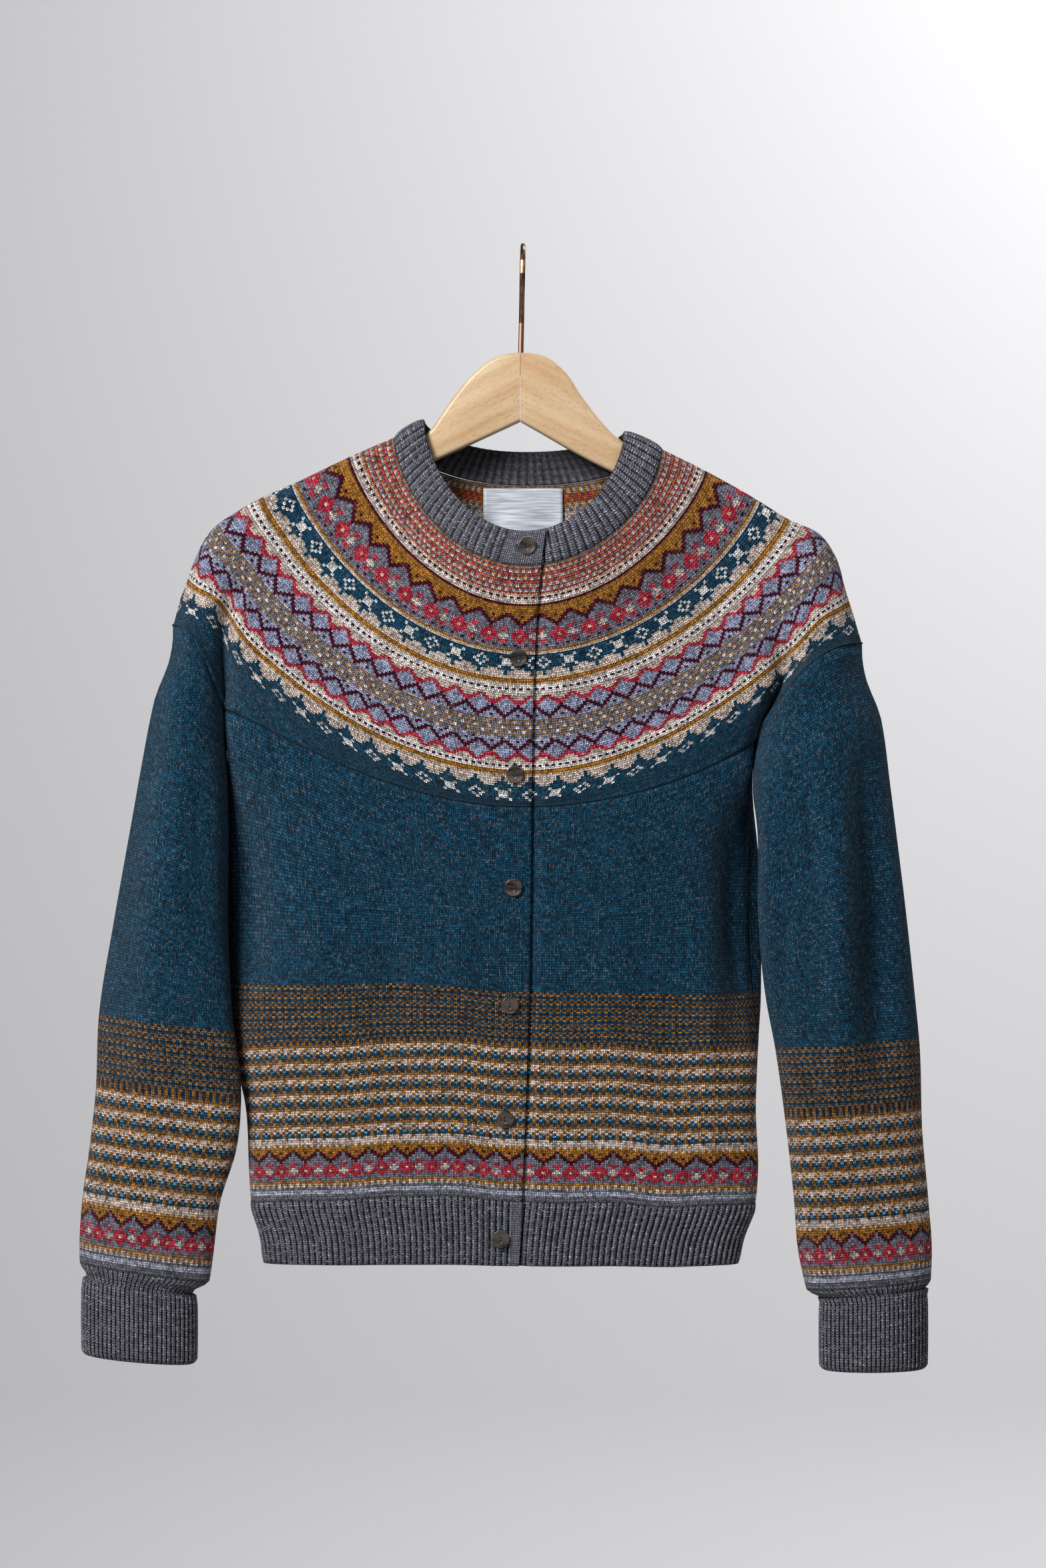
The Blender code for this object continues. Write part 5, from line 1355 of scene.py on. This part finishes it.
for side in ("right", "left"):
    top, bottom = smooth_line(BOARD_TOP[side], 70), smooth_line(BOARD_BOTTOM[side], 40)
    mitre = MITRE_X + SIDE[side] * 0.00015
    top[0, 0] = bottom[0, 0] = mitre
    centre, arm = 0.5 * (top[-1] + bottom[-1]), 0.5 * (top[-1] - bottom[-1])
    out = np.array([-arm[1], arm[0]])
    out = out if out[0] * SIDE[side] > 0 else -out
    turns = [math.pi * k / 12 for k in range(1, 12)]
    tip = [centre + arm * math.cos(turn) + out * TIP_BULGE * math.sin(turn) for turn in turns]
    outline = [tuple(p) for p in top] + [tuple(p) for p in tip] + [tuple(p) for p in bottom[::-1]]
    mesh = bpy.data.meshes.new(f"beech_board_{side}")
    mesh.from_pydata([(x, -BOARD_THICK / 2, z) for x, z in outline], [], [list(range(len(outline)))])
    board = bpy.data.objects.new(f"beech_board_{side}", mesh)
    bpy.context.scene.collection.objects.link(board)
    deselect()
    board.select_set(True)
    bpy.context.view_layer.objects.active = board
    select_in_edit(board, lambda face: True)
    bpy.ops.mesh.extrude_region_move(TRANSFORM_OT_translate={"value": (0.0, BOARD_THICK, 0.0)})
    bpy.ops.mesh.select_all(action="SELECT")
    bpy.ops.mesh.normals_make_consistent(inside=False)
    bpy.ops.mesh.select_mode(type="EDGE")
    bpy.ops.mesh.select_all(action="DESELECT")
    bpy.ops.object.mode_set(mode="OBJECT")
    for edge in mesh.edges:
        a, b = [mesh.vertices[n].co for n in edge.vertices]
        edge.select = abs(a.y - b.y) < 1e-6 and not (abs(a.x - mitre) < 1e-6 and abs(b.x - mitre) < 1e-6)
    bpy.ops.object.mode_set(mode="EDIT")
    bpy.ops.mesh.bevel(offset=BOARD_EDGE_ROUND, segments=4)
    bpy.ops.object.mode_set(mode="OBJECT")
    deselect()
    radius, foot = WIRE_HOLE
    bpy.ops.mesh.primitive_cylinder_add(
        vertices=24, radius=radius, depth=0.08, location=(MITRE_X, 0.0, foot + 0.04)
    )
    cut_away(board, bpy.context.object)
    bpy.ops.object.shade_smooth_by_angle(angle=math.radians(35))
    mesh.materials.append(beech_board(side))
    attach(board, "root")
    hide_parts(f"hanger_board_{side}")

# Drawn steel wire, 4 mm, with a thin copper-bronze finish: a warm, slightly soft shine.
wire, tree, shader = new_material("bronzed steel wire")
shader.inputs["Base Color"].default_value = linear("8C6A55")
shader.inputs["Metallic"].default_value = 1.0
shader.inputs["Roughness"].default_value = 0.3
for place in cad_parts["hanger_hook"].material_slots:
    place.material = wire

# ---- room, light and camera
# A pale floor that sweeps up into a backdrop far enough behind to leave room for a camera there,
# a large soft window to the left and above, a weak fill from the right, a light on the backdrop,
# and the camera straight in front at the photograph's height.
CAMERA_Z = -0.4015
PICTURE_HEIGHT = 1.1755
CAMERA_AWAY = 3.0
backdrop, tree, shader = new_material("pale backdrop paper")
shader.inputs["Base Color"].default_value = linear("CECDCF")
shader.inputs["Roughness"].default_value = 0.9
deselect()
FLOOR_FRONT_Y, FLOOR_BACK_Y, FLOOR_Z = -3.2, 4.3, -2.1
SWEEP_RADIUS, BACKDROP_TOP_Z, HALF_WIDTH = 0.5, 3.2, 3.0
profile = [(FLOOR_FRONT_Y, FLOOR_Z), (FLOOR_BACK_Y, FLOOR_Z)]
for k in range(1, 13):
    turn = k * math.pi / 24
    back, up = SWEEP_RADIUS * math.sin(turn), SWEEP_RADIUS * (1.0 - math.cos(turn))
    profile.append((FLOOR_BACK_Y + back, FLOOR_Z + up))
profile.append((FLOOR_BACK_Y + SWEEP_RADIUS, BACKDROP_TOP_Z))
sweep = bpy.data.meshes.new("sweep")
sweep.from_pydata(
    [(x, y, z) for y, z in profile for x in (-HALF_WIDTH, HALF_WIDTH)], [],
    [(2 * k, 2 * k + 1, 2 * k + 3, 2 * k + 2) for k in range(len(profile) - 1)],
)
sweep.materials.append(backdrop)
sweep.shade_smooth()
floor = bpy.data.objects.new("sweep", sweep)
bpy.context.scene.collection.objects.link(floor)


def area_light(name, place, target, size, power):
    light = bpy.data.lights.new(name, "AREA")
    light.shape = "RECTANGLE"
    light.size, light.size_y = size
    light.energy = power
    holder = bpy.data.objects.new(name, light)
    holder.location = place
    holder.rotation_euler = (Vector(target) - Vector(place)).to_track_quat("-Z", "Y").to_euler()
    bpy.context.scene.collection.objects.link(holder)


area_light("window", (-1.65, -2.3, 1.25), (0.0, 0.0, -0.35), (1.1, 1.3), 162.0)
area_light("fill", (1.5, -2.0, 1.1), (0.1, 0.0, -0.3), (1.0, 1.2), 16.0)
area_light("wall", (2.6, 2.3, 2.5), (0.1, 4.8, -0.5), (3.0, 1.6), 225.0)
world = bpy.data.worlds.new("studio")
world.use_nodes = True
world.node_tree.nodes["Background"].inputs["Color"].default_value = linear("EDEFF2")
world.node_tree.nodes["Background"].inputs["Strength"].default_value = 0.06
bpy.context.scene.world = world
bpy.context.scene.view_settings.view_transform = "Standard"

camera = bpy.data.cameras.new("camera")
camera.sensor_width = 36.0
camera.lens = 36.0 * CAMERA_AWAY / PICTURE_HEIGHT
holder = bpy.data.objects.new("camera", camera)
holder.location = (0.0, -CAMERA_AWAY, CAMERA_Z)
holder.rotation_euler = (math.pi / 2, 0.0, 0.0)
bpy.context.scene.collection.objects.link(holder)
bpy.context.scene.camera = holder
